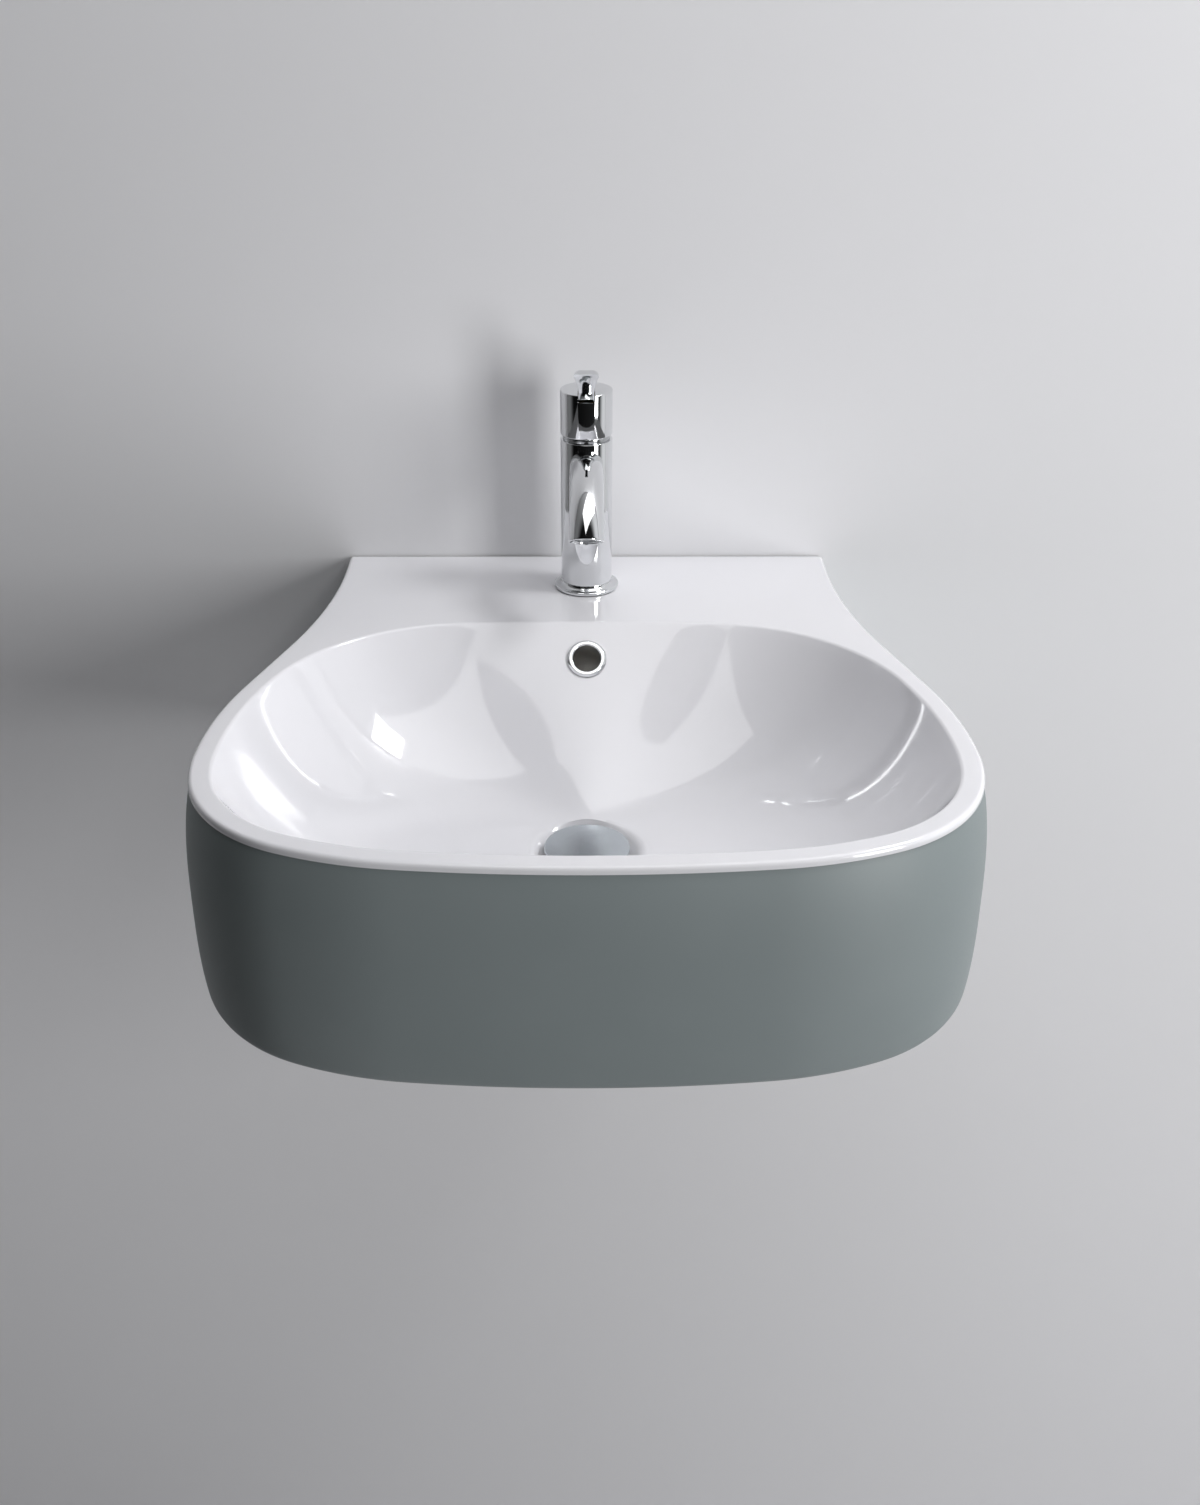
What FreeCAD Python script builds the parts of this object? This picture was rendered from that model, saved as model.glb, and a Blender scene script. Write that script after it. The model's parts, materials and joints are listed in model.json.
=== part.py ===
import FreeCAD, Part
import math
import os

# Wall hung basin with a single-lever mixer tap and a click waste, in millimetres.
# Origin: midway between the two wall fixing holes, on the wall face.
# +X to the right, +Y into the wall, +Z up. The basin hangs in front of the wall, at negative Y.

V = FreeCAD.Vector
X_AXIS = V(1, 0, 0)
Y_AXIS = V(0, 1, 0)
Z_AXIS = V(0, 0, 1)

# ---- basin: plan of the rim ----
rim_z = 95.0                   # rim plane above the wall fixings
rim_width = 579.0              # widest part of the rim
rim_depth = 549.0              # wall to the middle of the front rim
back_width = 442.0             # straight back edge against the wall
front_crown_deg = 6.2          # half angle of the shallow front arc
front_turn_deg = 16.8          # turn of the arc next to it
corner_turn_deg = 55.0         # turn of the tight front corner
front_radius = 285.0
corner_radius = 128.0
shoulder_radius = 180.0
side_radius = 383.0
flare_run = 78.0               # straight part of the sides before the hollow arc
waist_run = 25.3               # straight part of the sides against the wall

# ---- basin: skirt and shell ----
basin_height = 190.0
bulge = 10.5                   # how far the skirt swells past the rim
bulge_drop = 104.0             # depth of the fullest line of the skirt below the rim
bulge_power = 3.0
bottom_round = 14.0
lip_height = 6.0               # height of the glazed lip
lip_proud = 1.0                # it stands out over the top of the skirt
lip_round = 3.6
skirt_wall = 11.0
foot_width = 26.0              # the skirt turns in and thickens at its lower edge
foot_height = 30.0
foot_step = 0.8                # share of the foot's width reached a third of the way up it
deck_thickness = 14.0
back_wall = 16.0
shell_wall = 11.0              # wall of the bowl
rim_split = 200.0              # wall to the plane where the deck meets the rim
shell_gap = 0.3                # between the bowl's outside and the skirt's wall
over_wall = 5.0                # the outlines run this far past the wall before they are cut flat

# ---- basin: bowl ----
ledge = 14.0                   # flat rim between the outer edge and the bowl
bowl_back = 152.0              # wall to the back edge of the bowl
bowl_back_radius = 165.0
bowl_back_crown_deg = 3.0
bowl_depth = 119.0
bowl_edge_round = 4.0
bowl_fullness = 3.4            # steepness of the front and side walls; 1 is a straight slope
bowl_back_fullness = 1.3       # steepness of the back wall
waste_y = -336.0
dish_radius = 44.0             # dished recess round the waste
dish_depth = 12.0
dish_foot_gap = 1.5            # clay left round the waste's flange
dish_overlap = 3.0             # how far the dish's cone runs up into the bowl
bowl_floor_radius = 36.0       # innermost ring of the bowl's walls, inside the dish

# ---- basin: wall fixing, pipe opening, overflow duct, waste boss ----
fixing_spacing = 280.0
fixing_hole_radius = 11.0
fixing_boss_radius = 24.0
fixing_boss_depth = 10.0
pipe_opening_width = 250.0
pipe_opening_height = 52.0
duct_width = 40.0
duct_top = 0.94                # upper end of the duct, as a ring of the bowl
duct_gap = 12.0
duct_cover = 14.0              # ceramic between the bowl and the duct
duct_wall = 9.0
duct_start = 1.0               # the duct's bar starts this far outside the bowl's wall
mouth_inset = 6.0              # the mouth into the waste hole is this much narrower on each side
mouth_reach = 8.0              # how far the mouth runs out past the boss
boss_top_radius = 46.0
boss_shoulder = 3.0            # straight side of the boss below the dish's floor
boss_overlap = 2.0
boss_radius = 34.0
boss_height = 44.0
waste_hole_radius = 23.0
waste_inlet_drop = 5.0         # top of the duct's mouth below the waste's seat
waste_inlet_height = 12.0

# ---- tap body ----
tap_y = -70.0
tap_hole_radius = 17.5
tap_pad_radius = 38.0
tap_pad_height = 8.0
tap_radius = 22.7
body_bottom = 7.6              # above the deck, as are the other heights of the tap
body_top = 138.5
neck_radius = 19.3
neck_wall = 1.3
neck_top = 158.0
edge_break = 0.6               # small bevel on the tap's turned edges
spigot_radius = 16.3
spigot_drop = 3.0
base_ring_radius = 28.6
base_ring_lip = 3.0
base_ring_hollow = 1.4         # how far the ring's throat curves in
base_ring_clearance = 0.4
base_seal = 0.8
base_seal_margin = 1.0
inlet_x = 8.5
inlet_y = 4.25                 # behind the tap's axis
inlet_radius = 4.5             # M10 x 1 thread for a flexible tail
inlet_depth = 16.0
passage_radius = 3.0
outlet_y = -9.5
stud_radius = 3.0
stud_x = 10.0
stud_y = 6.5                   # in front of the tap's axis
stud_grip = 18.0
stud_length = 78.0

# ---- head and groove ring ----
groove_radius = 20.7
groove_height = 4.3
head_gap = 0.3
head_top = 181.8
head_wall = 3.0
head_top_wall = 3.5
head_edge = 1.0
slot_half_width = 7.4
slot_bottom = 175.9
slot_back = 4.5                # slot ends behind the tap's axis

# ---- spout and aerator ----
spout_radius = 14.7
spout_bore = 11.5
spout_height = 118.7
spout_straight = 30.6
spout_bend_radius = 80.0
spout_bend_deg = 59.0
aerator_radius = 12.0          # M24 x 1 thread
aerator_wall = 1.3
aerator_lip = 0.8              # turned-in edge that carries the insert
aerator_lip_height = 1.2
aerator_length = 8.0
aerator_inset = 1.0
aerator_washer = 1.6
washer_bore = 8.0
aerator_cell = 1.7
aerator_cells = 6
aerator_cell_ring = 6.4        # circle that the cells lie on
thread_clearance = 0.05

# ---- cartridge ----
cartridge_seat = 131.0
cartridge_radius = 17.2
cartridge_clearance = 0.2
cartridge_height = 20.0
cartridge_bore = 15.0
cartridge_floor = 2.4
cartridge_lip = 2.0
port_seal_radius = 4.4
port_seal_height = 1.0
disc_radius = 14.6
disc_height = 3.5
moving_disc_radius = 10.4
moving_disc_height = 2.3
mixing_pocket = 4.7
mixing_pocket_y = 3.0
slider_radius = 11.5
slider_height = 4.5
slider_pocket = 2.9
slider_floor = 0.1
running_gap = 0.06
turret_radius = 13.0
turret_shoulder = 14.6
turret_bottom = 144.1
turret_top = 160.0
turret_slot = 9.0
pivot_height = 148.5
pivot_radius = 2.0
stem_half = 4.0
stem_bottom = 145.2
stem_neck = 2.0
stem_ball_radius = 2.8
stem_ball_height = 142.3
stem_top = 170.5
cartridge_nut_height = 6.3
cartridge_nut_bore = 13.5
nut_notch = 3.0
nut_notch_depth = 2.0
nut_notch_rim = 1.5
yoke_height = 3.0
yoke_bore = 10.5
yoke_slot = 14.0               # how far the yoke is slotted behind the tap's axis

# ---- lever ----
hub_bottom = 165.0
hub_top = 172.0
hub_front = 8.0
hub_back = 6.5
hub_break = 1.5                # bevel on the hub's edges
hub_crown = -3.0               # the hub's level top ends here, in front of the tap's axis
socket_clearance = 0.1
lever_root_width = 13.4
lever_tip_width = 21.0
lever_root_front = 22.2        # from the tap's axis to the front of the lever's root
lever_root_low = 177.2
lever_flare = 184.0            # height where the lever starts to widen
lever_flare_sag = 1.1          # the widening sides are hollow by this much
lever_shoulder = 200.5         # height where the paddle is widest
lever_crown = 2.4              # rise of the paddle's round top
lever_thickness = 5.0
lever_tip_thickness = 8.0
lever_tip = 205.0
lever_lean = 9.5               # the tip stands this far in front of the root
lever_break = 2.0              # bevels on the lever's bends
grub_radius = 2.5
grub_height = 168.2
grub_key = 2.5                 # across flats
grub_key_depth = 1.5

# ---- clamp under the deck ----
clamp_rubber = 3.0
clamp_plate = 2.0
clamp_radius = 27.0
clamp_hose_gap = 0.9           # clear of the hoses all round
stud_nut_across = 10.0
stud_nut_height = 8.0

# ---- waste ----
waste_flange_radius = 32.0
waste_flange = 2.0
waste_gasket = 1.5
waste_radius = 20.9            # G 1 1/4 tail
waste_wall = 2.4
waste_length = 78.0
waste_groove = 1.5
waste_groove_depth = 0.6
waste_groove_gap = 1.0         # between the backnut and the groove
waste_mouth_bevel = 1.5
waste_flange_bevel = 1.0
slot_width = 16.0
bridge_drop = 20.0
bridge_height = 8.0
bridge_web = 4.0
bridge_boss = 8.6
bridge_root = 0.5              # the webs run this far into what they join
bridge_webs_deg = (30, 150, 270)
gasket_height = 5.0
gasket_radius = 29.0
gasket_taper = 2.0
slip_washer = 1.5
backnut_height = 8.0
backnut_across = 54.0
backnut_corner = 4.0           # the corners are turned down to this much past the flats
backnut_bevel = 2.0
cap_radius = 34.5
cap_thickness = 4.0
cap_seat_gap = 0.5             # left under the cap's seal when the cap is pushed down
cap_bevel = 1.0
cap_boss = 8.0
cap_boss_height = 4.0
cap_seal_inner = 25.0
cap_seal_outer = 29.5
cap_seal_height = 2.4
plug_travel = 5.6
sleeve_radius = 6.4
sleeve_bore = 4.6
sleeve_height = 22.0
sleeve_floor = 2.0
sleeve_drop = 3.0
plunger_radius = 4.4
plunger_length = 22.0
plunger_bevel = 0.8
spring_radius = 3.2
spring_wire = 0.45
spring_turns = 5

# ---- overflow ----
overflow_drop = 24.6           # centre of the overflow below the rim
overflow_lean_deg = 45.0       # its axis above the horizontal
overflow_hole = 13.4
overflow_sleeve_radius = 13.0
overflow_bore = 11.8
overflow_flange_radius = 16.8
overflow_flange = 3.0
overflow_edge = 1.2            # straight outer edge of the flange
overflow_bevel = 1.8
overflow_throat = 0.6          # bevel into the bore
overflow_sleeve = 10.0
overflow_reach = 6.0           # the hole runs this far past the sleeve and the clay
overflow_recess = 6.0          # the seat is cut this far out of the wall
overflow_seal = 0.8
overflow_seat_clearance = 0.3

# ---- wall bushes ----
bush_flange_radius = 16.0
bush_flange = 2.5
bush_bore = 5.5                # for an M10 hanger bolt
bush_clearance = 0.2

over = 1.0                     # cutting tools run this far past what they cut


def below_rim(depth):
    """Height of a point the given depth below the rim plane."""
    return rim_z - depth


def above_deck(height):
    """Height of a point the given distance above the deck, which is level with the rim."""
    return rim_z + height


def cylinder(radius, z0, z1, x=0.0, y=0.0):
    """Upright round bar from height z0 to z1."""
    return Part.makeCylinder(radius, z1 - z0, V(x, y, z0), Z_AXIS)


def tube(outer, inner, z0, z1, x=0.0, y=0.0):
    """Upright ring or tube from height z0 to z1."""
    return cylinder(outer, z0, z1, x, y).cut(cylinder(inner, z0 - over, z1 + over, x, y))


def block(x0, x1, y0, y1, z0, z1):
    """Box between two corners."""
    return Part.makeBox(x1 - x0, y1 - y0, z1 - z0, V(x0, y0, z0))


def slab(y0, y1, z0, z1):
    """Box wider than the basin, between two depths and two heights."""
    return block(-rim_width, rim_width, y0, y1, z0, z1)


def crosswise(radius, y0, y1, x=0.0, z=0.0):
    """Round bar along Y from y0 to y1."""
    return Part.makeCylinder(radius, y1 - y0, V(x, y0, z), Y_AXIS)


def turned(profile, x=0.0, y=0.0):
    """Solid turned about an upright axis from (radius, height) points."""
    points = [V(x + r, y, z) for r, z in profile]
    face = Part.Face(Part.makePolygon(points + [points[0]]))
    return face.revolve(V(x, y, 0), Z_AXIS, 360)


def hexagon(across, z0, z1, x=0.0, y=0.0):
    """Upright hexagonal bar, given by its width across flats."""
    radius = across / 2 / math.cos(math.radians(30))
    corners = [
        V(x + radius * math.cos(math.radians(a)), y + radius * math.sin(math.radians(a)), z0)
        for a in range(0, 360, 60)
    ]
    return Part.Face(Part.makePolygon(corners + [corners[0]])).extrude(V(0, 0, z1 - z0))


def toward(degrees):
    """Plan direction at an angle from the front (-Y), turning to the right-hand side (+X)."""
    angle = math.radians(degrees)
    return V(math.sin(angle), -math.cos(angle), 0)


# ---------------------------------------------------------------- plan of the rim

corner_start_deg = front_crown_deg + front_turn_deg
corner_end_deg = corner_start_deg + corner_turn_deg


def rim_arcs():
    """Centres of the arcs of the right half of the rim, from the front to the waist."""
    shoulder_x = rim_width / 2 - shoulder_radius
    shoulder = V(shoulder_x, 0, 0)
    corner = shoulder + toward(corner_end_deg) * (shoulder_radius - corner_radius)
    front = corner - toward(corner_start_deg) * (front_radius - corner_radius)
    crown_radius = front.x / math.sin(math.radians(front_crown_deg)) + front_radius
    crown = front - toward(front_crown_deg) * (crown_radius - front_radius)
    drop = V(0, -rim_depth + crown_radius - crown.y, 0)
    side = shoulder - X_AXIS * (side_radius - shoulder_radius)
    return {
        "crown": (crown + drop, crown_radius),
        "front": (front + drop, front_radius),
        "corner": (corner + drop, corner_radius),
        "shoulder": (shoulder + drop, shoulder_radius),
        "side": (side + drop, side_radius),
    }


def waist():
    """Radius of the hollow arc near the wall, and how far the sides draw in before it."""
    inward = (rim_width - back_width) / 2
    back = -waist_run - rim_arcs()["side"][0].y
    radii = (inward ** 2 + back ** 2 - flare_run ** 2) / (2 * inward)
    angle = math.atan2(back, radii - inward) - math.atan2(flare_run, radii)
    return radii - side_radius, math.degrees(angle)


waist_radius, flare_deg = waist()
side_end_deg = 90.0 + flare_deg


def inward_run(length):
    """Step of a given length along the straight flare, towards the wall."""
    lean = math.radians(flare_deg)
    return V(-math.sin(lean), math.cos(lean), 0) * length


def waist_points(grow):
    """Ends of the straight flare and of the hollow waist arc, with the arc's middle."""
    centre, radius = rim_arcs()["side"]
    flare_start = centre + toward(side_end_deg) * (radius + grow)
    flare_end = flare_start + inward_run(flare_run)
    hollow = flare_end + toward(side_end_deg) * (waist_radius - grow)
    middle = hollow - toward(90.0 + flare_deg / 2) * (waist_radius - grow)
    waist_end = hollow - X_AXIS * (waist_radius - grow)
    return flare_start, flare_end, middle, waist_end


def half_rim(grow):
    """Edges of the right half of the rim from the front middle into the wall, grown outwards."""
    arcs = rim_arcs()
    spans = (
        ("crown", 0.0, front_crown_deg),
        ("front", front_crown_deg, corner_start_deg),
        ("corner", corner_start_deg, corner_end_deg),
        ("shoulder", corner_end_deg, 90.0),
        ("side", 90.0, side_end_deg),
    )
    legs = []
    for name, start, end in spans:
        centre, radius = arcs[name]
        legs.append([centre + toward(a) * (radius + grow) for a in (start, (start + end) / 2, end)])
    flare_start, flare_end, middle, waist_end = waist_points(grow)
    legs.append([flare_start, flare_end])
    legs.append([flare_end, middle, waist_end])
    legs.append([waist_end, V(waist_end.x, over_wall, 0)])
    return legs


def leg_edge(points, z):
    """Edge of an outline at height z: an arc through three points or a line through two."""
    lifted = [V(p.x, p.y, z) for p in points]
    if len(lifted) == 3:
        return Part.Arc(*lifted).toShape()
    return Part.LineSegment(*lifted).toShape()


def rim_wire(grow, z):
    """Closed outline of the basin at height z, grown by grow, running a little into the wall."""
    right = half_rim(grow)
    left = [[V(-p.x, p.y, 0) for p in reversed(leg)] for leg in reversed(right)]
    corner = right[-1][1]
    edges = [leg_edge(leg, z) for leg in left + right]
    edges.append(leg_edge([corner, V(-corner.x, corner.y, 0)], z))
    return Part.Wire(edges)


def skirt_grow(depth):
    """How far the skirt stands out past the rim at a depth below the rim."""
    return bulge * (1 - (abs(depth - bulge_drop) / bulge_drop) ** bulge_power)


# ---------------------------------------------------------------- bowl

# The bowl's rings, as shares of the way from the floor to the bowl's edge.
bowl_rings = (0.0, 0.2, 0.4, 0.58, 0.72, 0.84, 0.93, 1.0)


def bowl_share(way, ring):
    """Share of the bowl's depth at a ring, in a plan direction from the waste."""
    backward = max(0.0, way.y) ** 2
    fullness = bowl_fullness + (bowl_back_fullness - bowl_fullness) * backward
    return 1 - ring ** fullness


def arc_points(centre, radius, start, end, count):
    """Evenly spaced points along an arc, leaving out its last one."""
    step = (end - start) / count
    return [centre + toward(start + i * step) * radius for i in range(count)]


def bowl_rim(grow):
    """Points round the edge of the bowl, anticlockwise from the front middle."""
    arcs = rim_arcs()
    inset = grow - ledge
    half = []
    for name, start, end, count in (
        ("crown", 0.0, front_crown_deg, 2),
        ("front", front_crown_deg, corner_start_deg, 1),
        ("corner", corner_start_deg, corner_end_deg, 3),
        ("shoulder", corner_end_deg, 90.0, 1),
        ("side", 90.0, side_end_deg, 2),
    ):
        centre, radius = arcs[name]
        half += arc_points(centre, radius + inset, start, end, count)
    centre, radius = arcs["side"]
    turn = centre + toward(side_end_deg) * (radius + inset)
    back_radius = bowl_back_radius + grow
    crown_start = 180.0 - bowl_back_crown_deg
    first = turn - toward(side_end_deg) * back_radius
    end = first + toward(crown_start) * back_radius
    rise = math.tan(math.radians(bowl_back_crown_deg / 2))
    lean = math.radians(flare_deg)
    run = (grow - bowl_back - end.y - rise * end.x) / (math.cos(lean) - rise * math.sin(lean))
    shift = inward_run(run)
    half += arc_points(first + shift, back_radius, side_end_deg, crown_start, 4)
    end += shift
    crown_radius = end.x / math.sin(math.radians(bowl_back_crown_deg))
    crown = V(0, end.y - crown_radius * math.cos(math.radians(bowl_back_crown_deg)), 0)
    half += arc_points(crown, crown_radius, crown_start, 180.0, 1)
    back = crown + toward(180.0) * crown_radius
    left = [V(-p.x, p.y, 0) for p in reversed(half[1:])]
    return half + [back] + left


def smooth_ring(points):
    """Closed smooth curve through points."""
    curve = Part.BSplineCurve()
    curve.interpolate(Points=points, PeriodicFlag=True)
    return Part.Wire(curve.toShape())


def bowl_solid(grow=0.0):
    """The space inside the bowl above the dish, or the bowl's outside when grown."""
    waste = V(0, waste_y, 0)
    rim = bowl_rim(grow)
    rings = []
    for ring in bowl_rings:
        points = []
        for p in rim:
            reach = (p - waste).Length
            way = (p - waste) * (1 / reach)
            start = bowl_floor_radius + grow
            depth = (bowl_depth + grow) * bowl_share(way, ring)
            place = waste + way * (start + (reach - start) * ring)
            points.append(place + Z_AXIS * below_rim(depth))
        rings.append(smooth_ring(points))
    return Part.makeLoft(rings, True, False)


# ---------------------------------------------------------------- ceramic basin

deck_under = rim_z - deck_thickness
basin_low = rim_z - basin_height
waste_seat = below_rim(bowl_depth + dish_depth)
boss_low = waste_seat - boss_height


def skirt_outside():
    """Swelling outside of the skirt up to the underside of the lip, with a rounded lower edge."""
    steps = 8
    full = basin_height - bottom_round
    run = full - lip_height
    depths = [full - run * i / steps for i in range(steps + 1)]
    skirt = Part.makeLoft([rim_wire(skirt_grow(d), below_rim(d)) for d in depths], True, False)
    wires = []
    turns = 4
    for i in range(turns + 1):
        angle = math.radians(90 * i / turns)
        depth = full + bottom_round * math.sin(angle)
        grow = skirt_grow(depth) - bottom_round * (1 - math.cos(angle))
        wires.append(rim_wire(grow, below_rim(depth)))
    return skirt.fuse(Part.makeLoft(list(reversed(wires)), True, False))


def skirt_inside(top, gap=0.0):
    """Space inside the skirt's wall up to a depth below the rim, held off the wall by a gap."""
    knee = basin_height - foot_height
    spans = [
        (basin_height + over, foot_width),
        (basin_height - foot_height / 3, foot_width * foot_step),
        (knee, skirt_wall),
    ]
    steps = 4
    spans += [(knee - (knee - top) * i / steps, skirt_wall) for i in range(1, steps + 1)]
    wires = [rim_wire(skirt_grow(d) - wall - gap, below_rim(d)) for d, wall in spans]
    return Part.makeLoft(wires, True, False)


def lip():
    """Rounded glazed lip over the top of the skirt."""
    grow = skirt_grow(lip_height) + lip_proud
    band = Part.Face(rim_wire(grow, below_rim(lip_height))).extrude(V(0, 0, lip_height))
    edges = [
        e for e in band.Edges
        if e.BoundBox.ZMin > rim_z - 0.01 and e.BoundBox.YMin < over_wall - 0.01
    ]
    return band.makeFillet(lip_round, edges)


def dish():
    """Dished recess and through hole for the waste."""
    foot_radius = waste_flange_radius + dish_foot_gap
    slope = (dish_radius - foot_radius) / dish_depth
    height = dish_depth + dish_overlap
    mouth_radius = foot_radius + slope * height
    cone = Part.makeCone(foot_radius, mouth_radius, height, V(0, waste_y, waste_seat))
    return cone.fuse(cylinder(waste_hole_radius, boss_low - over, waste_seat + over, 0, waste_y))


def waste_boss():
    """Thick ceramic round the waste hole."""
    top = waste_seat + dish_depth - boss_overlap
    shoulder = waste_seat - boss_shoulder
    return turned([
        (0, top),
        (boss_top_radius, top),
        (boss_top_radius, shoulder),
        (boss_radius, shoulder - (boss_top_radius - boss_radius)),
        (boss_radius, boss_low),
        (0, boss_low),
    ], 0, waste_y)


def bowl_back_point(ring):
    """Point on the middle of the bowl's back wall."""
    start = waste_y + bowl_floor_radius
    depth = bowl_depth * bowl_share(Y_AXIS, ring)
    return V(0, start + (-bowl_back - start) * ring, below_rim(depth))


def overflow_point():
    """Centre of the overflow on the back wall of the bowl."""
    ring = (1 - overflow_drop / bowl_depth) ** (1 / bowl_back_fullness)
    return bowl_back_point(ring)


def at_overflow(shape):
    """Place a shape built upright at the origin on the overflow, its +Z out into the bowl."""
    lean = math.radians(overflow_lean_deg)
    axis = V(0, -math.cos(lean), math.sin(lean))
    shape.Placement = FreeCAD.Placement(overflow_point(), FreeCAD.Rotation(Z_AXIS, axis))
    return shape


def bowl_back_line(top, distance):
    """Points down the middle of the bowl's back wall, moved out from the bowl by a distance."""
    steps = 6
    line = [bowl_back_point(top * (1 - i / steps)) for i in range(steps + 1)]
    moved = []
    for i, point in enumerate(line):
        along = (line[min(i + 1, steps)] - line[max(i - 1, 0)]).normalize()
        moved.append(point + V(0, -along.z, along.y) * distance)
    return moved


def duct(top, inside, outside, width):
    """Bar behind the bowl's back wall, between two distances from the bowl."""
    outline = bowl_back_line(top, inside) + list(reversed(bowl_back_line(top, outside)))
    outline = [V(-width / 2, p.y, p.z) for p in outline]
    return Part.Face(Part.makePolygon(outline + [outline[0]])).extrude(V(width, 0, 0))


def duct_mouth():
    """Way from the duct through the boss into the waste hole."""
    top = waste_seat - waste_inlet_drop
    half = duct_width / 2 - mouth_inset
    end = waste_y + boss_top_radius + mouth_reach
    return block(-half, half, waste_y, end, top - waste_inlet_height, top)


def overflow_seat():
    """Recess in the bowl's wall for the overflow's flange and seal."""
    radius = overflow_flange_radius + overflow_seat_clearance
    return at_overflow(cylinder(radius, -overflow_seal, overflow_recess))


def water_way():
    """Overflow hole, duct and mouth into the waste hole."""
    deep = overflow_sleeve + duct_cover + overflow_reach
    way = duct(duct_top, duct_cover, duct_cover + duct_gap, duct_width)
    return way.fuse([duct_mouth(), at_overflow(cylinder(overflow_hole, -deep, over))])


def ceramic_top():
    """The level top of the basin: deck and rim, with the lip, the tap pad and the bowl's edge."""
    body = skirt_outside().cut(slab(-2 * rim_depth, rim_depth, basin_low - over, deck_under))
    body = body.fuse(lip())
    body = body.fuse(cylinder(tap_pad_radius, deck_under - tap_pad_height, rim_z - over, 0, tap_y))
    body = body.cut(bowl_solid())
    bowl_edge = max(
        (e for e in body.Edges if e.BoundBox.ZMin > rim_z - 0.01 and e.isClosed()),
        key=lambda e: e.Length,
    )
    body = body.makeFillet(bowl_edge_round, [bowl_edge])
    hole = cylinder(tap_hole_radius, deck_under - tap_pad_height - over, rim_z + over, 0, tap_y)
    return body.cut(hole).cut(overflow_seat())


def ceramic_deck():
    """Level deck behind the bowl, with the tap hole."""
    body = ceramic_top().cut(slab(-2 * rim_depth, -rim_split, basin_low, rim_z + over))
    return body.cut(slab(0, 2 * over_wall, basin_low, rim_z + over))


def ceramic_rim():
    """Rim with its lip round the front and the sides of the bowl."""
    return ceramic_top().cut(slab(-rim_split, rim_depth, basin_low, rim_z + over))


def ceramic_skirt():
    """Skirt round the front and the sides, thicker at its foot."""
    body = skirt_outside().cut(slab(-2 * rim_depth, rim_depth, deck_under, rim_z))
    body = body.cut(slab(-back_wall, 2 * over_wall, basin_low - over, rim_z))
    return body.cut(skirt_inside(deck_thickness - over))


def ceramic_back_wall():
    """Back wall with the wall fixing holes, their pads and the pipe opening."""
    body = skirt_outside().cut(slab(-2 * rim_depth, rim_depth, deck_under, rim_z))
    body = body.cut(slab(-2 * rim_depth, -back_wall, basin_low - over, rim_z))
    body = body.cut(slab(0, 2 * over_wall, basin_low - over, rim_z))
    front = -back_wall - fixing_boss_depth
    for x in (-fixing_spacing / 2, fixing_spacing / 2):
        body = body.fuse(crosswise(fixing_boss_radius, front, -over, x))
        body = body.cut(crosswise(fixing_hole_radius, front - over, over, x))
    half = pipe_opening_width / 2
    top = basin_low + pipe_opening_height
    return body.cut(block(-half, half, -back_wall - over, over, basin_low - over, top))


def ceramic_bowl():
    """Bowl with its dish, the boss round the waste hole and the overflow duct."""
    space = skirt_inside(deck_thickness, shell_gap)
    bar = duct(1.0, duct_start, duct_cover + duct_gap + duct_wall, duct_width + 2 * duct_wall)
    around = space
    for kept in (bowl_solid(shell_wall), bar, waste_boss()):
        around = around.cut(kept)
    body = space.cut(around)
    for tool in (bowl_solid(), dish(), water_way(), overflow_seat()):
        body = body.cut(tool)
    return body


def overflow_ring():
    """Chrome ring and sleeve of the overflow."""
    ring = turned([
        (overflow_bore, -overflow_sleeve),
        (overflow_sleeve_radius, -overflow_sleeve),
        (overflow_sleeve_radius, 0),
        (overflow_flange_radius, 0),
        (overflow_flange_radius, overflow_edge),
        (overflow_flange_radius - overflow_bevel, overflow_flange),
        (overflow_bore + overflow_throat, overflow_flange),
        (overflow_bore, overflow_flange - overflow_throat),
    ])
    return at_overflow(ring)


def overflow_seal_ring():
    """Soft ring between the overflow ring and the ceramic."""
    outer = overflow_flange_radius - overflow_seat_clearance
    return at_overflow(tube(outer, overflow_sleeve_radius, -overflow_seal, 0))


def wall_bushes():
    """Two flanged nylon sleeves in the wall fixing holes, flush with the back."""
    radius = fixing_hole_radius - bush_clearance
    inside = -back_wall - fixing_boss_depth
    bushes = []
    for x in (-fixing_spacing / 2, fixing_spacing / 2):
        sleeve = crosswise(radius, inside, 0, x)
        flange = crosswise(bush_flange_radius, inside - bush_flange, inside, x)
        hole = crosswise(bush_bore, inside - bush_flange - over, over, x)
        bushes.append(sleeve.fuse(flange).cut(hole).removeSplitter())
    return Part.makeCompound(bushes)


# ---------------------------------------------------------------- waste

waste_top = waste_seat + waste_gasket + waste_flange
cap_under = waste_top + cap_seat_gap + plug_travel + cap_seal_height
sleeve_top = waste_top - sleeve_drop
sleeve_low = sleeve_top - sleeve_height
nut_low = boss_low - gasket_height - slip_washer - backnut_height


def waste_top_gasket():
    """Foam ring under the waste's flange."""
    outer = waste_flange_radius - waste_flange_bevel
    return tube(outer, waste_radius, waste_seat, waste_seat + waste_gasket, 0, waste_y)


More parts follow.
